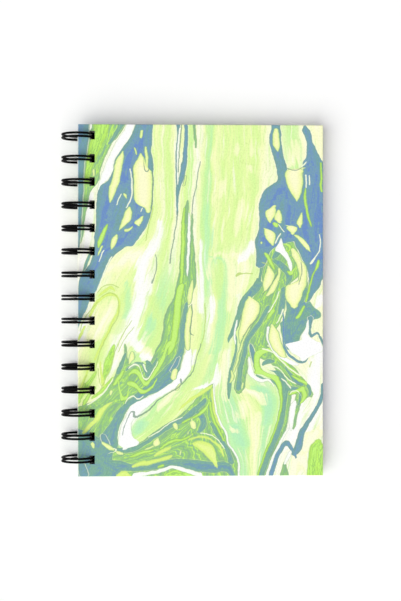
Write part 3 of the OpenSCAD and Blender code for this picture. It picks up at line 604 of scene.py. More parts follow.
# Lines that the dyes flowed along, as (distance across the flow, row of (down, across))
FLOW_LINES = (
    (0,
        ((-3.5, -4.4), (30.5, -9.9), (63.5, -15.4), (96.4, -20.9), (129.3, -31.9), (194.1, -53.9))),
    (16.5,
        ((-3.5, 12), (8.6, 10.4), (22.3, 6.5), (36, 3.2), (49.7, 1.6), (66.2, -0.1), (85.4, -3.3),
         (107.4, -13.2), (194.1, -42.9))),
    (27.5,
        ((-3.5, 29), (6.4, 25.2), (17.9, 18.6), (30.5, 13.1), (44.2, 9.3), (63.5, 7.1), (79.9, 3.2),
         (96.4, -3.3), (118.4, -14.3), (194.1, -35.2))),
    (35.1,
        ((-3.5, 36.2), (8.6, 34), (19.5, 30.1), (33.3, 25.2), (47, 20.8), (60.7, 17.5), (75.5, 10.9),
         (90.9, 3.2), (107.4, -2.3), (129.3, -9.9), (194.1, -28.6))),
    (42.8,
        ((-3.5, 41.1), (41.5, 41.1), (53.6, 38.9), (64.6, 32.3), (71.2, 21.9), (81, 15.3), (93.7, 10.4),
         (112.9, 3.2), (129.3, -3.3), (194.1, -24.2))),
    (50.5,
        ((-3.5, 43.9), (41.5, 43.9), (58, 41.1), (71.7, 35.1), (85.4, 29), (101.9, 21.9), (118.4, 14.2),
         (132.1, 9.8), (143.1, 4.3), (154, -2.3), (194.1, -19.8))),
    (58.2,
        ((-3.5, 48.3), (41.5, 48.3), (63.5, 45), (79.9, 41.1), (96.4, 36.2), (110.1, 30.7), (121.1, 25.7),
         (132.1, 20.8), (143.1, 14.8), (152.4, 6.5), (162.3, -0.1), (194.1, -15.4))),
    (65.9,
        ((-3.5, 53.7), (41.5, 53.7), (66.2, 52.1), (82.7, 49.4), (96.4, 46.1), (107.4, 42.8),
         (118.4, 38.4), (126.6, 32.9), (134.8, 25.2), (145.8, 16.4), (156.8, 8.7), (167.8, 3.2),
         (194.1, -11))),
    (73.6,
        ((-3.5, 59.8), (41.5, 58.7), (69, 57.6), (90.9, 55.4), (107.4, 52.6), (121.1, 49.4),
         (130.4, 42.2), (139.2, 31.8), (148.6, 21.9), (159.5, 14.2), (170.5, 7.6), (181.5, 2.1),
         (194.1, -6.6))),
    (80.2,
        ((-3.5, 65.3), (41.5, 62.5), (69, 62.5), (96.4, 61.4), (112.9, 59.8), (123.9, 57.6),
         (134.8, 52.6), (143.1, 43.9), (151.3, 34), (159.5, 27.4), (168.9, 21.9), (176.6, 17.5),
         (183.1, 8.7), (189.7, 2.1), (195.2, -2.3))),
    (85.1,
        ((-3.5, 69.1), (41.5, 66.9), (74.4, 66.4), (101.9, 66.9), (118.4, 65.8), (129.3, 63.1),
         (139.2, 57), (146.9, 48.3), (154, 39.5), (162.3, 32.9), (170, 27.4), (176.6, 23), (184.2, 13.1),
         (190.8, 6.5), (195.2, 2.1))),
    (90,
        ((-3.5, 73.5), (41.5, 71.9), (74.4, 71.3), (96.4, 73), (118.4, 70.8), (132.1, 66.9),
         (143.1, 61.4), (151.3, 55.9), (159.5, 49.4), (166.7, 40.6), (173.3, 31.8), (179.9, 23),
         (186.4, 13.1), (195.2, 6.5))),
    (95,
        ((-3.5, 79), (41.5, 77.4), (74.4, 75.2), (96.4, 76.3), (118.4, 74.1), (132.1, 71.3),
         (143.1, 68.6), (150.2, 65.8), (156.8, 62.5), (163.4, 57), (170, 49.4), (176.6, 40.6),
         (183.1, 29.6), (189.7, 18.6), (195.2, 10.9))),
    (100.5,
        ((-3.5, 84.5), (41.5, 82.8), (69, 80.6), (96.4, 81.2), (121.1, 79), (137.6, 76.3), (145.8, 74.1),
         (154, 73.5), (162.3, 73.5), (170.5, 71.3), (178.8, 65.8), (185.3, 53.7), (190.8, 37.3),
         (195.2, 23))),
    (105.4,
        ((-3.5, 90), (41.5, 88.9), (69, 86.1), (96.4, 85), (118.4, 81.2), (134.8, 79), (148.6, 77.9),
         (159.5, 79), (167.8, 81.7), (176, 83.4), (184.2, 87.2), (195.2, 88.9))),
    (110.9,
        ((-3.5, 97.7), (30.5, 97.1), (52.5, 94.4), (74.4, 91.1), (96.4, 87.8), (112.9, 83.9),
         (129.3, 81.7), (145.8, 81.7), (156.8, 84.5), (167.8, 87.8), (178.8, 90.5), (195.2, 92.2))),
    (116.9,
        ((-3.5, 105.4), (25, 104.3), (41.5, 99.3), (63.5, 96.6), (79.9, 95.5), (96.4, 90.5),
         (112.9, 86.7), (126.6, 85), (140.3, 85.6), (151.3, 90.5), (162.3, 93.8), (173.3, 94.9),
         (195.2, 94.4))),
    (123,
        ((-3.5, 110.3), (19.5, 113), (36, 113), (52.5, 110.8), (69, 106.5), (85.4, 101), (99.1, 95.5),
         (112.9, 90.5), (126.6, 88.9), (140.3, 90.5), (150.2, 97.1), (159.5, 99.9), (170.5, 98.8),
         (195.2, 96))),
    (129.6,
        ((-3.5, 117.4), (19.5, 118.5), (41.5, 119.6), (63.5, 116.3), (79.9, 110.8), (96.4, 104.3),
         (112.9, 98.8), (123.9, 95.5), (133.7, 96.6), (142.5, 103.2), (151.3, 106.5), (162.3, 105.4),
         (176, 101), (195.2, 97.7))),
    (136.7,
        ((-3.5, 124.6), (19.5, 127.3), (41.5, 124.6), (63.5, 122.9), (79.9, 121.8), (96.4, 114.1),
         (112.9, 106.5), (121.1, 104.3), (128.2, 104.3), (135.9, 108.6), (145.8, 112.5), (156.8, 112.5),
         (167.8, 109.2), (181.5, 104.3), (195.2, 99.3))),
    (143.8,
        ((-3.5, 131.7), (19.5, 132.8), (41.5, 130.6), (69, 130.1), (90.9, 124.6), (107.4, 117.4),
         (118.4, 113.6), (125, 113.6), (132.6, 119.1), (140.3, 124.6), (148.6, 122.9), (159.5, 117.4),
         (173.3, 110.8), (195.2, 103.2))),
    (154.8,
        ((-3.5, 143.8), (41.5, 143.8), (85.4, 139.4), (107.4, 133.9), (118.4, 131.7), (140.3, 132.8),
         (156.8, 128.4), (173.3, 121.8), (195.2, 113.6))),
    (176.8,
        ((-3.5, 165.7), (195.2, 154.8))),
)

# Soft dyes, as stops of (depth in from the edge in mm, colour, cover)
SOFT_DYES = {
    "lime_pools": ((-2.8, "#E2FA9E", 0), (1.2, "#DDF99A", 0.6), (4, "#D8F894", 0.8)),
    "mint_pools": ((-1.4, "#C6F8B4", 0), (0.7, "#BFF5B2", 0.75), (4, "#B8F0BC", 0.95)),
    "cream_pools": ((-1.4, "#FDFFC8", 0), (0.7, "#FDFFCC", 0.8), (4, "#FFFFE0", 1)),
    "white_pools": ((-1.3, "#FFFFF4", 0), (0.6, "#FFFFFA", 0.9), (4, "#FFFFFF", 1)),
}

# Flowing dyes, as how far strokes flow together, the reach of the broad streaks, the fine streaks and
# the grain, how deep the colours go before they turn back, and the stops
FLOWING_DYES = {
    "green_bands": (0.8, (15, 13, 1.5), 4.4, (
        (-0.5, "#F6FFC4", 0), (-0.15, "#9CBF80", 0.85), (0.12, "#8CB788", 1), (0.5, "#8EBD8C", 1),
        (1.1, "#98CB7A", 1), (1.5, "#A4D970", 1), (1.8, "#90C188", 1), (2.4, "#9ACF7C", 1),
        (2.9, "#BAEB6A", 1), (3.2, "#C8F578", 1), (3.5, "#9CCF78", 1), (4.4, "#8AB994", 1),
    )),
    "teal_bands": (0.7, (12, 11, 2), 3.6, (
        (-0.5, "#EDFDBA", 0), (-0.3, "#E5F9B2", 0.35), (-0.05, "#85AF8E", 0.9), (0.2, "#77A796", 1),
        (0.7, "#89BB96", 1), (1.1, "#79A99E", 1), (1.8, "#75A3AA", 1), (2.3, "#87B98E", 1),
        (2.7, "#77A5A6", 1), (3.6, "#719BB4", 1),
    )),
    "lime_bands": (0.6, (8, 13, 2.5), 3.4, (
        (-0.6, "#C0E884", 0), (-0.1, "#A4D06C", 0.6), (0.2, "#AEDE64", 1), (0.7, "#BEF068", 1),
        (1.2, "#C8FA72", 1), (1.6, "#B0E466", 1), (2.0, "#98CA70", 1), (2.5, "#B8EE68", 1),
        (3.4, "#C8F87C", 1),
    )),
    "blue_pools": (0.7, (16, 13, 8), 7.0, (
        (-0.8, "#FFFFE8", 0), (-0.35, "#FFFFE8", 0.6), (-0.1, "#89AB9C", 0.9), (0.12, "#719B9C", 1),
        (0.6, "#79A7A8", 1), (1.3, "#719DB2", 1), (2.0, "#79A7AE", 1), (2.8, "#739DB8", 1),
        (3.8, "#7195BE", 1), (4.8, "#7DA9B0", 1), (5.6, "#6F93C0", 1), (7.0, "#678BC8", 1),
    )),
}

# Crisp dyes, as how far strokes flow together and the stops
CRISP_DYES = {
    "lime_lines": (0.3, (
        (-0.45, "#DCF28C", 0), (-0.12, "#D2EC7C", 0.6), (0.2, "#DAF478", 0.95), (1.2, "#E0F884", 1),
        (2.6, "#E8FA98", 1),
    )),
    "lime_drops": (0.3, (
        (-0.4, "#88AC6C", 0), (-0.1, "#8CB868", 0.85), (0.2, "#B4E660", 1), (0.8, "#C6F47C", 1),
    )),
    "white_bands": (0.6, (
        (-0.35, "#8CAC90", 0), (-0.1, "#9CB89C", 0.5), (0.12, "#FAFFF0", 1), (1.2, "#FFFFFF", 1),
    )),
    "drops": (0.4, (
        (-0.4, "#80A48C", 0), (-0.12, "#7EA88C", 0.9), (0.06, "#BADC90", 1), (0.4, "#E6F8A0", 1),
        (1.2, "#F8FCB6", 1), (3.5, "#FEFED0", 1),
    )),
    "dark_lines": (0.1, ((-0.22, "#7C9C84", 0), (0.08, "#7C9C84", 0.85))),
    "olive_lines": (0.1, ((-0.25, "#BCD874", 0), (0.08, "#BCD874", 0.85))),
    "pale_lines": (0.1, ((-0.2, "#F4FFD4", 0), (0.08, "#F8FFE0", 0.95))),
}

# Tints of the pale size under the dyes
SIZE_TINTS = {
    "white": "#FFFFFB",
    "ivory": "#FFFFEE",
    "cream": "#FEFFD8",
    "straw": "#F8FFBE",
    "pale_lime": "#EBFEAB",
    "lime": "#DDFB9E",
    "leaf": "#CFF8A2",
    "mint": "#C3F5AF",
    "cool_mint": "#BBF1B9",
}

# Where each tint lies, as (distance across the flow in mm, tint), in the cover's upper part
SIZE_TOP = (
    (24, "ivory"), (41.5, "lime"), (46, "pale_lime"), (49.4, "straw"), (52.6, "pale_lime"),
    (55.6, "cream"), (57.2, "lime"), (61.5, "lime"), (64.2, "straw"), (66.4, "ivory"), (70.3, "straw"),
    (73.6, "lime"), (77, "leaf"), (79.6, "cream"), (82.4, "ivory"), (84.6, "straw"), (86.2, "leaf"),
    (89.5, "mint"), (91.2, "lime"), (93.4, "straw"), (97, "lime"), (100, "pale_lime"), (103, "lime"),
    (107.6, "pale_lime"), (111, "lime"), (113.6, "straw"), (117, "cream"), (129.6, "leaf"),
    (134, "cream"), (144, "cream"),
)

# The same further down, behind the two heights in mm between which the new tints take over
SIZE_BELOW = (
    (56, 96, (
        (24, "white"), (42.8, "ivory"), (45, "straw"), (48.3, "pale_lime"), (50.5, "lime"),
        (53.3, "straw"), (55, "ivory"), (58.2, "white"), (60.4, "pale_lime"), (62.6, "leaf"),
        (65, "mint"), (67, "leaf"), (69.8, "leaf"), (76, "straw"), (80.2, "cream"), (83, "straw"),
        (85.2, "pale_lime"), (87, "leaf"), (90, "ivory"), (93.4, "straw"), (95.6, "mint"),
        (98.8, "leaf"), (101, "straw"), (104.4, "cream"), (111, "ivory"), (117, "lime"), (129, "cream"),
    )),
    (126, 152, (
        (60, "straw"), (72, "lime"), (78, "white"), (83, "white"), (84.6, "mint"), (88, "leaf"),
        (90, "lime"), (92.4, "pale_lime"), (95, "leaf"), (99.6, "cream"), (102.6, "leaf"),
        (105.4, "mint"), (111, "cool_mint"), (114.6, "leaf"), (117, "straw"), (119.6, "straw"),
        (123, "lime"), (126, "mint"), (130, "cool_mint"), (133.4, "leaf"), (140, "white"),
        (150, "ivory"),
    )),
)

# Streaks over the size, as (height of the streak noise, colour, cover): pale ones and thin lines
PALE_STREAKS = (
    (0.3, "#CFF59C", 0.75), (0.42, "#D6F89E", 0.2), (0.47, "#E4FBB0", 0), (0.54, "#FCFFCC", 0),
    (0.6, "#FCFFD0", 0.5), (0.68, "#FFFFE8", 0.75),
)
THIN_LINES = (
    (0.405, "#C8E48C", 0), (0.414, "#C8E48C", 0.5), (0.423, "#C8E48C", 0), (0.49, "#D2EE98", 0),
    (0.5, "#D2EE98", 0.5), (0.51, "#D2EE98", 0), (0.58, "#C8E48C", 0), (0.59, "#C8E48C", 0.4),
    (0.6, "#C8E48C", 0),
)


def linear(hex_colour):
    """Turns an sRGB hex colour into linear RGBA."""
    parts = [int(hex_colour[i : i + 2], 16) / 255 for i in (1, 3, 5)]
    return [c / 12.92 if c <= 0.04045 else ((c + 0.055) / 1.055) ** 2.4 for c in parts] + [1.0]


def add(tree, kind, inputs=(), **settings):
    """Adds a node with its settings, and sets or links its inputs; a node there means its first output."""
    node = tree.nodes.new("ShaderNode" + kind)
    for name, value in settings.items():
        setattr(node, name, value)
    for key, value in dict(inputs).items():
        if isinstance(value, bpy.types.Node):
            value = value.outputs[0]
        if isinstance(value, bpy.types.NodeSocket):
            tree.links.new(value, node.inputs[key])
        else:
            node.inputs[key].default_value = value
    return node


def new_material(name):
    """Empty node material; returns it with its tree."""
    material = bpy.data.materials.new(name)
    material.use_nodes = True
    material.node_tree.nodes.clear()
    return material, material.node_tree


def new_group(name, takes, gives):
    """Node group with its sockets; returns it with its input and output nodes."""
    group = bpy.data.node_groups.new(name, "ShaderNodeTree")
    for way, sockets in (("INPUT", takes), ("OUTPUT", gives)):
        for label, kind in sockets.items():
            group.interface.new_socket(label, in_out=way, socket_type="NodeSocket" + kind)
    return group, group.nodes.new("NodeGroupInput"), group.nodes.new("NodeGroupOutput")


def drawn_line(tree, along, points, handles):
    """A number that follows a line drawn through points of (place, number), and runs on past its ends."""
    node = add(tree, "FloatCurve", {"Value": along})
    node.mapping.use_clip = False
    node.mapping.extend = "EXTRAPOLATED"
    drawn = node.mapping.curves[0].points
    for i, (at, number) in enumerate(points):
        point = drawn[i] if i < 2 else drawn.new(at, number)
        point.location = (at, number)
        point.handle_type = handles
    node.mapping.update()
    return node


def runs_of(points):
    """Splits a stroke into runs that go mainly down or mainly across and don't turn back."""
    for main in (1, 0):
        steps = [end[main] - start[main] for start, end in zip(points, points[1:])]
        sideways = abs(points[-1][1 - main] - points[0][1 - main])
        if min(steps) * max(steps) > 0 and abs(sum(steps)) > sideways:
            return [(main, steps[0] > 0, list(points))]
    runs = []
    for start, end in zip(points, points[1:]):
        moves = (end[0] - start[0], end[1] - start[1])
        if runs:
            main, ahead, run = runs[-1]
            if (moves[main] > 0) == ahead and abs(moves[main]) > RUN_SHARE * abs(moves[1 - main]):
                run.append(end)
                continue
        main = 1 if abs(moves[1]) >= abs(moves[0]) else 0
        runs.append((main, moves[main] > 0, [start, end]))
    return runs


def run_depth(tree, place, main, ahead, run):
    """How deep a place lies inside one run: its half-width there less the way to its middle line."""
    steps = run if ahead else run[::-1]
    middle = [(point[main], point[1 - main]) for point in steps]
    halves = []
    for i, (at, _) in enumerate(middle):
        before, after = middle[max(i - 1, 0)], middle[min(i + 1, len(middle) - 1)]
        slope = (after[1] - before[1]) / (after[0] - before[0])
        halves.append((at, steps[i][2] * math.hypot(1, slope)))
    caps = []
    for way, (at, half), r in ((-1, halves[0], steps[0][2]), (1, halves[-1], steps[-1][2])):
        cap = [(at + way * CAP_AT * r, CAP_WIDTH * half), (at + way * r, 0), (at + way * (r + 1), -1)]
        caps.append(cap[::way])
    along = place[main]
    centre = drawn_line(tree, along, middle, "AUTO")
    width = drawn_line(tree, along, caps[0] + halves + caps[1], "AUTO_CLAMPED")
    off = add(tree, "Math", {0: place[1 - main], 1: centre}, operation="SUBTRACT")
    off = add(tree, "Math", {0: off}, operation="ABSOLUTE")
    return add(tree, "Math", {0: width, 1: off}, operation="SUBTRACT")


def depth_in(tree, place, name, join):
    """Depth inside a set of strokes, in a group of its own; they flow together over the distance join."""
    group, given, result = new_group(name, {"Place": "Vector"}, {"Depth": "Float"})
    parts = add(group, "SeparateXYZ", {0: given.outputs["Place"]})
    here = (parts.outputs["X"], parts.outputs["Y"])
    depth = None
    for points in STROKES[name]:
        for main, ahead, run in runs_of(points):
            stroke = run_depth(group, here, main, ahead, run)
            if depth is None:
                depth = stroke
                continue
            depth = add(group, "Math", {0: depth, 1: stroke, 2: join}, operation="SMOOTH_MAX")
    group.links.new(depth.outputs[0], result.inputs["Depth"])
    return add(tree, "Group", {"Place": place}, node_tree=group)


def tinted(tree, value, stops, ease="LINEAR"):
    """Colours that change with a value: stops are (value, hex colour, cover)."""
    low, high = stops[0][0], stops[-1][0]
    share = add(tree, "MapRange", {"Value": value, "From Min": low, "From Max": high}, clamp=False)
    ramp = add(tree, "ValToRGB", {0: share})
    ramp.color_ramp.interpolation = ease
    elements = ramp.color_ramp.elements
    elements.remove(elements[-1])
    for i, (at, colour, cover) in enumerate(stops):
        stop = elements[0] if i == 0 else elements.new((at - low) / (high - low))
        stop.position = (at - low) / (high - low)
        stop.color = linear(colour)[:3] + [cover]
    return ramp


def lay_dye(tree, under, depth, stops, ease="LINEAR"):
    """Lays one dye over what is there, coloured by the depth from its edge in millimetres."""
    dye = tinted(tree, depth, stops, ease)
    laid = add(tree, "Mix", {0: dye.outputs["Alpha"], 6: under, 7: dye.outputs["Color"]}, data_type="RGBA")
    return laid.outputs[2]


def warped(tree, place, waves):
    """Moves a place by smooth noises, the longest waves first."""
    for size, reach, seed in waves:
        scale = (1 / size, 1 / size, 0)
        scaled = add(tree, "VectorMath", {0: place, 1: scale, 2: (seed, 0, seed)}, operation="MULTIPLY_ADD")
        noise = add(tree, "TexNoise", {"Vector": scaled, "Scale": 1, "Detail": 1})
        middle = (NOISE_MIDDLE, NOISE_MIDDLE, NOISE_MIDDLE)
        centred = add(tree, "VectorMath", {0: noise.outputs["Color"], 1: middle}, operation="SUBTRACT")
        reaches = (reach / NOISE_SWING, reach / NOISE_SWING, 0)
        place = add(tree, "VectorMath", {0: centred, 1: reaches, 2: place}, operation="MULTIPLY_ADD")
    return place


def flow_across(tree, place):
    """Distance across the flow, which stays the same along each line that the dyes flowed along."""
    group, given, result = new_group("flow_across", {"Place": "Vector"}, {"Across": "Float"})
    parts = add(group, "SeparateXYZ", {0: given.outputs["Place"]})
    across, down = parts.outputs["X"], parts.outputs["Y"]
    total = 0
    line = drawn_line(group, down, FLOW_LINES[0][1], "AUTO_CLAMPED")
    for (at, _), (next_at, points) in zip(FLOW_LINES, FLOW_LINES[1:]):
        next_line = drawn_line(group, down, points, "AUTO_CLAMPED")
        share = add(
            group, "MapRange", {"Value": across, "From Min": line, "From Max": next_line}, clamp=False
        )
        share = add(group, "Clamp", {"Value": share})
        total = add(group, "Math", {0: share, 1: next_at - at, 2: total}, operation="MULTIPLY_ADD")
        line = next_line
    group.links.new(total.outputs[0], result.inputs["Across"])
    return add(tree, "Group", {"Place": place}, node_tree=group)


def streaks(tree, flow, width, length, seed):
    """Noise drawn out along the way the dyes flowed, from 0 to 1 about a middle of 0.5."""
    stretch = (1 / width, 1 / length, 0)
    scaled = add(tree, "VectorMath", {0: flow, 1: stretch, 2: (0, 0, seed)}, operation="MULTIPLY_ADD")
    return add(tree, "TexNoise", {"Vector": scaled, "Scale": 1, "Detail": 3, "Roughness": 0.55})


def swing(tree, noise, reach, start):
    """A number moved to both sides by a noise of about 0.3 to 0.7, by up to a fifth of the reach."""
    moved = add(tree, "Math", {0: noise, 1: NOISE_MIDDLE}, operation="SUBTRACT")
    return add(tree, "Math", {0: moved, 1: reach, 2: start}, operation="MULTIPLY_ADD")


def size_colour(tree, across, down, broad, fine):
    """Pale size under the dyes, in long streaks of cream, lime and mint with thin lines between."""
    colour = tinted(tree, across, [(at, SIZE_TINTS[tint], 1) for at, tint in SIZE_TOP])
    for low, high, table in SIZE_BELOW:
        lower = tinted(tree, across, [(at, SIZE_TINTS[tint], 1) for at, tint in table])
        share = add(
            tree,
            "MapRange",
            {"Value": down, "From Min": low, "From Max": high},
            interpolation_type="SMOOTHSTEP",
            clamp=False,
        )
        colour = add(tree, "Mix", {0: share, 6: colour, 7: lower}, data_type="RGBA").outputs[2]
    colour = lay_dye(tree, colour, fine, PALE_STREAKS)
    return lay_dye(tree, colour, broad, THIN_LINES)


def folded_depth(tree, depth, noises, reaches, fold):
    """Depth inside a flowing dye, moved about by the noises and folded to and fro, behind a steady edge."""
    held = add(tree, "Math", {0: depth, 1: EDGE_HELD}, operation="MINIMUM")
    drift = 0
    for noise, reach in zip(noises, reaches):
        drift = swing(tree, noise, reach, drift)
    inside = add(tree, "Math", {0: depth, 1: DRIFT_RISE}, operation="MULTIPLY")
    inside = add(tree, "Clamp", {"Value": inside})
    moved = add(tree, "Math", {0: inside, 1: drift, 2: depth}, operation="MULTIPLY_ADD")
    folded = add(tree, "Math", {0: moved, 1: fold}, operation="PINGPONG")
    edged = add(tree, "Math", {0: folded, 1: held}, operation="MAXIMUM")
    within = add(tree, "Math", {0: held, 1: 0}, operation="GREATER_THAN")
    return add(tree, "Mix", {0: within, 2: held, 3: edged}, data_type="FLOAT")


def marbled_print():
    """Marbling: dyes floated on size, drawn into long streaks and lifted off on a sheet of paper."""
    group, given, result = new_group("marbled_print", {"Place": "Vector"}, {"Color": "Color"})
    flow_place = warped(group, given.outputs["Place"], FLOW_WAVES)
    across = flow_across(group, flow_place)
    down = add(group, "SeparateXYZ", {0: flow_place}).outputs["Y"]
    flow = add(group, "CombineXYZ", {0: across, 1: down})
    broad = streaks(group, flow, *BROAD_STREAKS)
    fine = streaks(group, flow, *FINE_STREAKS)
    drifted = swing(group, broad, SIZE_BROAD, across)
    drifted = swing(group, fine, SIZE_FINE, drifted)
    colour = size_colour(group, drifted, down, broad, fine)

    place = warped(group, given.outputs["Place"], EDGE_WAVES)
    grain = streaks(group, place, *GRAIN)
    mottle = streaks(group, place, *MOTTLE)
    for name, stops in SOFT_DYES.items():
        depth = depth_in(group, flow_place, name, SOFT_JOIN)
        depth = swing(group, fine, SOFT_FINE, depth)
        depth = swing(group, broad, SOFT_BROAD, depth)
        colour = lay_dye(group, colour, depth, stops, "EASE")
    for name, (join, reaches, fold, stops) in FLOWING_DYES.items():
        depth = depth_in(group, place, name, join)
        depth = folded_depth(group, depth, (broad, fine, grain), reaches, fold)
        colour = lay_dye(group, colour, depth, stops)
    for name, (join, stops) in CRISP_DYES.items():
        depth = depth_in(group, place, name, join)
        colour = lay_dye(group, colour, depth, stops)
    shade = swing(group, mottle, MOTTLE_REACH, MOTTLE_MIDDLE)
    mottled = add(group, "VectorMath", {0: colour, "Scale": shade}, operation="SCALE")
    group.links.new(mottled.outputs[0], result.inputs["Color"])
    return group


def print_place(tree, spot, normal, outer, mirror):
    """Place on the print, which goes over the outer face at height outer and on down the board's edges."""
    height = add(tree, "SeparateXYZ", {0: spot}).outputs["Z"]
    below = add(tree, "Math", {0: outer, 1: height}, operation="SUBTRACT")
    below = add(tree, "Math", {0: below}, operation="ABSOLUTE")
    round_edge = add(tree, "VectorMath", {0: normal, "Scale": below}, operation="SCALE")
    unrolled = add(tree, "VectorMath", {0: spot, 1: round_edge}, operation="ADD")
    return add(
        tree,
        "VectorMath",
        {0: unrolled, 1: (1 / MM, mirror / MM, 0), 2: (PRINT_ACROSS, PRINT_DOWN, 0)},
        operation="MULTIPLY_ADD",
    )


def inset_on(tree, spot, low, high):
    """Millimetres in from the nearest edge of the board, whose box is low to high."""
    off = add(tree, "VectorMath", {0: spot, 1: tuple((high + low) / 2)}, operation="SUBTRACT")
    off = add(tree, "VectorMath", {0: off}, operation="ABSOLUTE")
    off = add(tree, "VectorMath", {0: tuple((high - low) / 2), 1: off}, operation="SUBTRACT")
    ways = add(tree, "SeparateXYZ", {0: off})
    inset = add(tree, "Math", {0: ways.outputs["X"], 1: ways.outputs["Y"]}, operation="MINIMUM")
    return add(tree, "Math", {0: inset, 1: MM}, operation="DIVIDE")


def inner_zone(tree, inner, inset, low, high):
    """Share of 0 to 1 on the board's inner face only, which goes over from low to high with the inset."""
    share = add(tree, "MapRange", {"Value": inset, "From Min": low, "From Max": high}, clamp=False)
    share = add(tree, "Clamp", {"Value": share})
    return add(tree, "Math", {0: inner, 1: share}, operation="MULTIPLY")


def printed_board(name, low, high, outward, marbling):
    """Board covered in marbled paper: satin print over the face and edges, matt pale lining, and a
    near-black core whose colour is painted shade for the punched holes.

    low and high are the board's box, and outward is the sign of Z on its outer face. The printed paper
    is turned in round the board's edges, and its own edge shows through the lining as a slight step.
    """
    material, tree = new_material(name)
    where = add(tree, "TexCoord")
    spot, normal = where.outputs["Object"], where.outputs["Normal"]
    outer = high.z if outward > 0 else low.z
    place = print_place(tree, spot, normal, outer, -outward)
    printed = add(tree, "Group", {"Place": place}, node_tree=marbling)

    # The inner face, and the punched holes' walls, where the board's core shows in near black as painted
    # shade for the holes
    inset = inset_on(tree, spot, low, high)
    facing = add(tree, "SeparateXYZ", {0: normal}).outputs["Z"]
    facing = add(tree, "Math", {0: facing, 1: outward}, operation="MULTIPLY")
    inner = add(tree, "Math", {0: facing, 1: -FACING}, operation="LESS_THAN")
    upright = add(tree, "Math", {0: facing}, operation="ABSOLUTE")
    upright = add(tree, "Math", {0: upright, 1: FACING}, operation="LESS_THAN")
    inside = add(tree, "Math", {0: inset, 1: EDGE_ZONE}, operation="GREATER_THAN")
    walls = add(tree, "Math", {0: upright, 1: inside}, operation="MULTIPLY")

    scale = 1 / BOARD_FIBRE
    fibres = add(tree, "TexNoise", {"Vector": spot, "Scale": scale, "Detail": 3, "Roughness": 0.65})
    lining = tinted(tree, fibres, ((0.3, "#E9E5D8", 1), (0.5, "#F3F0E6", 1), (0.7, "#FAF8F0", 1)))
    lined = inner_zone(tree, inner, inset, LINING_INSET, LINING_INSET + LINING_EDGE)
    colour = add(tree, "Mix", {0: lined, 6: printed, 7: lining}, data_type="RGBA").outputs[2]
    # The core's near black is painted shade: it darkens the holes' walls to stand for the shade deep in the
    # holes
    painted_shade_core = tinted(tree, fibres, ((0.3, "#060606", 1), (0.7, "#121110", 1)))
    colour = add(tree, "Mix", {0: walls, 6: colour, 7: painted_shade_core}, data_type="RGBA").outputs[2]

    # The lining's thickness, the turned-in covering's edge under it and the paper's tooth
    ridge = inner_zone(tree, inner, inset, TURN_IN + TURN_IN_SLOPE, TURN_IN - TURN_IN_SLOPE)
    height = 0
    for part, rise in ((lined, LINING_RISE), (ridge, TURN_IN_RISE), (fibres, TOOTH_RISE)):
        height = add(tree, "Math", {0: part, 1: rise, 2: height}, operation="MULTIPLY_ADD")
    relief = add(tree, "Bump", {"Strength": 0.6, "Distance": MM, "Height": height})
    satin = add(tree, "MapRange", {"Value": fibres, "To Min": SATIN[0], "To Max": SATIN[1]})
    matt = add(tree, "Math", {0: lined, 1: walls}, operation="MAXIMUM")
    gloss = add(tree, "Math", {0: matt, 1: MATT_GAIN, 2: satin}, operation="MULTIPLY_ADD")
    paper = add(
        tree,
        "BsdfPrincipled",
        {"Base Color": colour, "Roughness": gloss, "Specular IOR Level": 0.25, "Normal": relief},
    )
    add(tree, "OutputMaterial", {"Surface": paper})
    return material


def coated_steel():
    """Steel wire with a black nylon coat: deep black, slightly uneven gloss that keeps highlights dim."""
    material, tree = new_material("black_coated_steel")
    where = add(tree, "TexCoord")
    mottle = add(tree, "TexNoise", {"Vector": where.outputs["Object"], "Scale": 1 / COAT_GRAIN})
    gloss = add(tree, "MapRange", {"Value": mottle, "To Min": 0.32, "To Max": 0.48})
    skin = add(tree, "Bump", {"Strength": 0.25, "Distance": 0.02 * MM, "Height": mottle})
    coat = add(
        tree,
        "BsdfPrincipled",
        {
            "Base Color": linear("#020203"),
            "Roughness": gloss,
            "IOR": 1.45,
            "Specular IOR Level": 0.05,
            "Normal": skin,
        },
    )
    add(tree, "OutputMaterial", {"Surface": coat})
    return material


def uncoated_paper():
    """Uncoated writing paper: warm white, cloudy with fibres, each leaf a touch lighter or darker."""
    material, tree = new_material("uncoated_paper")
    where = add(tree, "TexCoord").outputs["Object"]
    leaf = add(tree, "VectorMath", {0: where, 1: (0, 0, 0.9 / LEAF_PITCH)}, operation="MULTIPLY")
    tone = add(tree, "TexNoise", {"Vector": leaf, "Scale": 1, "Detail": 1, "Roughness": 0.6})
    scale = 1 / SHEET_FIBRE
    fibres = add(tree, "TexNoise", {"Vector": where, "Scale": scale, "Detail": 4, "Roughness": 0.7})
    both = swing(tree, fibres, 0.35, tone)
    colour = tinted(
        tree, both, ((0.25, "#E6E3D8", 1), (0.42, "#F3F1E8", 1), (0.58, "#F9F7F0", 1), (0.75, "#FEFDF8", 1))
    )
    tooth = add(tree, "Bump", {"Strength": 0.35, "Distance": 0.03 * MM, "Height": fibres})
    sheet = add(
        tree,
        "BsdfPrincipled",
        {"Base Color": colour, "Roughness": 0.88, "Specular IOR Level": 0.2, "Normal": tooth},
    )
    add(tree, "OutputMaterial", {"Surface": sheet})
    return material


def white_floor():
    """Matt white paper floor, which keeps the notebook's soft shadow; from below it is clear."""
    material, tree = new_material("white_floor")
    paper = add(tree, "BsdfDiffuse", {"Color": linear("#FFFFFF")})
    clear = add(tree, "BsdfTransparent")
    below = add(tree, "NewGeometry").outputs["Backfacing"]
    both = add(tree, "MixShader", {0: below, 1: paper, 2: clear})
    add(tree, "OutputMaterial", {"Surface": both})
    return material


def floor_tilt():
    """Angle of the floor, which touches the rings' lowest points and the back board's fore edge."""
    reach = Vector((BACK_HIGH.x - RING_X, BACK_LOW.z - RING_Z))
    return math.asin(RING_R / reach.length) + math.atan2(reach.y, reach.x)


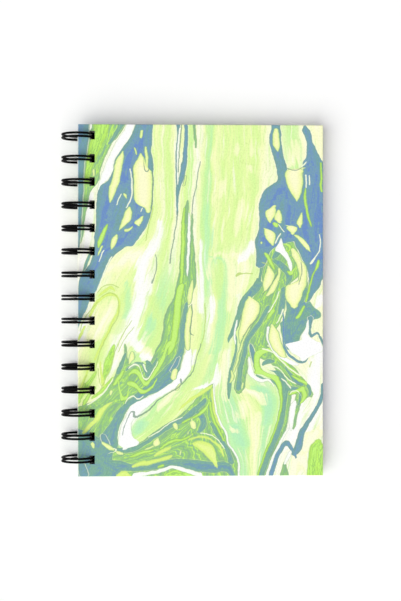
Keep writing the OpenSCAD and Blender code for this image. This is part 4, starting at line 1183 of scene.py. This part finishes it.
TILT = floor_tilt()
FLOOR_UP = Vector((-math.sin(TILT), 0, math.cos(TILT)))
FLOOR_TOUCH = Vector((RING_X, 0, RING_Z)) - FLOOR_UP * RING_R


def make_floor():
    """Wide flat floor under the resting notebook."""
    mesh = bpy.data.meshes.new("floor")
    corners = [(x * FLOOR_HALF, y * FLOOR_HALF, 0) for x, y in ((-1, -1), (1, -1), (1, 1), (-1, 1))]
    mesh.from_pydata(corners, [], [(0, 1, 2, 3)])
    floor = bpy.data.objects.new("floor", mesh)
    floor.matrix_world = Matrix.Translation(FLOOR_TOUCH) @ Matrix.Rotation(-TILT, 4, "Y")
    mesh.materials.append(white_floor())
    bpy.context.scene.collection.objects.link(floor)


def make_camera():
    """Camera square above the floor, with the cover's middle at its place in the photograph."""
    data = bpy.data.cameras.new("camera")
    data.lens = LENS
    data.sensor_width = SENSOR
    camera = bpy.data.objects.new("camera", data)
    cover_mid = (FRONT_LOW + FRONT_HIGH) / 2
    cover_mid.z = FRONT_HIGH.z
    right = Vector((math.cos(TILT), 0, math.sin(TILT)))
    up = Vector((0, 1, 0))
    metres_per_px = CAMERA_HEIGHT * SENSOR / LENS / PHOTO_H
    off_x = (COVER_MID_PX[0] - PHOTO_W / 2) * metres_per_px
    off_y = (COVER_MID_PX[1] - PHOTO_H / 2) * metres_per_px
    place = cover_mid + FLOOR_UP * CAMERA_HEIGHT - right * off_x + up * off_y
    turn = Matrix((right, up, FLOOR_UP)).transposed().to_4x4()
    camera.matrix_world = Matrix.Translation(place) @ turn
    bpy.context.scene.collection.objects.link(camera)
    bpy.context.scene.camera = camera


def make_light():
    """Even sky, a touch lilac, that is white to the eye, and one wide soft lamp from the lower left."""
    world = bpy.data.worlds.new("studio")
    bpy.context.scene.world = world
    world.use_nodes = True
    tree = world.node_tree
    tree.nodes.clear()
    sky = add(tree, "Background", {"Color": SKY_LIGHT})
    white = add(tree, "Background", {"Color": linear("#FFFFFF")})
    rays = add(tree, "LightPath").outputs
    seen = add(tree, "Math", {0: rays["Is Camera Ray"], 1: rays["Is Glossy Ray"]}, operation="MAXIMUM")
    seen = add(tree, "Math", {0: seen, 1: rays["Is Transmission Ray"]}, operation="MAXIMUM")
    both = add(tree, "MixShader", {0: seen, 1: sky, 2: white})
    add(tree, "OutputWorld", {"Surface": both})

    towards = Vector(LAMP_TOWARDS).normalized()
    data = bpy.data.lights.new("key", "SUN")
    data.angle = math.radians(LAMP_ANGLE)
    data.color = [1 - part for part in SKY_LIGHT[:3]]
    data.energy = math.pi / towards.z
    lamp = bpy.data.objects.new("key", data)
    lamp.rotation_mode = "QUATERNION"
    lamp.rotation_quaternion = towards.to_track_quat("Z", "Y")
    bpy.context.scene.collection.objects.link(lamp)


def wire_x(height):
    """Distance from the rings' axis to the wire's centre line, at a height above the axis."""
    return math.sqrt(WIRE_LINE_R**2 - height**2)


def sheet_height(share, way):
    """Height above the rings' axis at a share down through the stack, on its way from wire to free edge."""
    half = (PAGES_HIGH.z - PAGES_LOW.z) / 2
    drop = (half + SEAM_TOP) * (1 + math.cos(math.pi * way)) / 2
    return half - share * (2 * half - drop)


def leaf_columns(upper, lower, shift):
    """Places (x, z) of one leaf's upper and lower side, in columns from the spine to the free edge."""
    half = (PAGES_HIGH.z - PAGES_LOW.z) / 2
    margin = RING_X + wire_x(half) - PAGES_LOW.x
    width = PAGES_HIGH.x - (RING_X + WIRE_LINE_R - margin)
    columns = []
    for share in (upper, lower):
        near = sheet_height(share, 0)
        spots = [(wire_x(near) - margin, near)]
        spots += [(wire_x(near) + way * HOLE_W / 2, near) for way in (-1, 1)]
        for step in range(1, EASE_STEPS + 1):
            way = step / EASE_STEPS
            spots.append((EASE_FROM + EASE_LENGTH * way, sheet_height(share, way)))
        far = sheet_height(share, 1)
        spots.append((wire_x(far) - margin + width - shift, far))
        columns.append([(RING_X + x, RING_Z + z) for x, z in spots])
    return columns


def add_wall(mesh, sides, first, second):
    """Joins the leaf's upper to its lower side between two points, each given as (column, row)."""
    upper, lower = sides
    (a, i), (b, j) = first, second
    mesh.faces.new([upper[a][i], upper[b][j], lower[b][j], lower[a][i]])


def add_leaf(mesh, upper, lower, shift, trim):
    """One punched leaf, with its holes open right through it between its second and third column."""
    rows = [PAGES_HIGH.y - trim]
    for hole in range(HOLES):
        middle = FRONT_HIGH.y - HEAD_MARGIN - hole * HOLE_PITCH
        rows += [middle + HOLE_H / 2, middle - HOLE_H / 2]
    rows.append(PAGES_LOW.y + trim)
    ends = (rows[0], rows[-1])
    sides = []
    for column in leaf_columns(upper, lower, shift):
        sides.append(
            [
                [mesh.verts.new((x, y, z)) for y in (rows if i in (1, 2) else ends)]
                for i, (x, z) in enumerate(column)
            ]
        )
    for columns in sides:
        mesh.faces.new([columns[0][1], columns[0][0]] + columns[1])
        for i in range(0, len(rows), 2):
            mesh.faces.new([columns[1][i], columns[2][i], columns[2][i + 1], columns[1][i + 1]])
        mesh.faces.new([columns[3][1], columns[3][0]] + columns[2])
        for left, right in zip(columns[3:], columns[4:]):
            mesh.faces.new([left[0], right[0], right[1], left[1]])

    for end in (0, -1):
        for i in range(len(sides[0]) - 1):
            add_wall(mesh, sides, (i, end), (i + 1, end))
    for i in (0, -1):
        add_wall(mesh, sides, (i, 0), (i, 1))
    for i in range(1, len(rows) - 1, 2):
        for column in (1, 2):
            add_wall(mesh, sides, (column, i), (column, i + 1))
        for row in (i, i + 1):
            add_wall(mesh, sides, (1, row), (2, row))


def make_leaves():
    """The stack of loose punched leaves, cut a hair unevenly, that stands for the solid page block."""
    chance = random.Random(CHANCE_SEED)
    mesh = bmesh.new()
    for i in range(LEAVES):
        upper = (i + AIR_SHARE) / LEAVES
        lower = (i + 1 - AIR_SHARE) / LEAVES
        add_leaf(mesh, upper, lower, chance.uniform(0, EDGE_SHIFT), chance.uniform(0, EDGE_SHIFT / 2))
    bmesh.ops.recalc_face_normals(mesh, faces=mesh.faces)
    data = bpy.data.meshes.new("leaves")
    mesh.to_mesh(data)
    mesh.free()
    data.materials.append(uncoated_paper())
    leaves = bpy.data.objects.new("leaves", data)
    bpy.context.scene.collection.objects.link(leaves)
    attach(leaves, "bound_block")
    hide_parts("page_block")


def dress(node, material):
    """Gives a carried-over CAD node its material."""
    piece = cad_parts[node]
    piece.data.materials.clear()
    piece.data.materials.append(material)


make_floor()
make_camera()
make_light()

marbling = marbled_print()
make_leaves()
dress("binding_wire", coated_steel())
dress("front_cover", printed_board("marbled_front_board", FRONT_LOW, FRONT_HIGH, 1, marbling))
dress("back_cover", printed_board("marbled_back_board", BACK_LOW, BACK_HIGH, -1, marbling))
bpy.context.scene.view_settings.view_transform = "Standard"
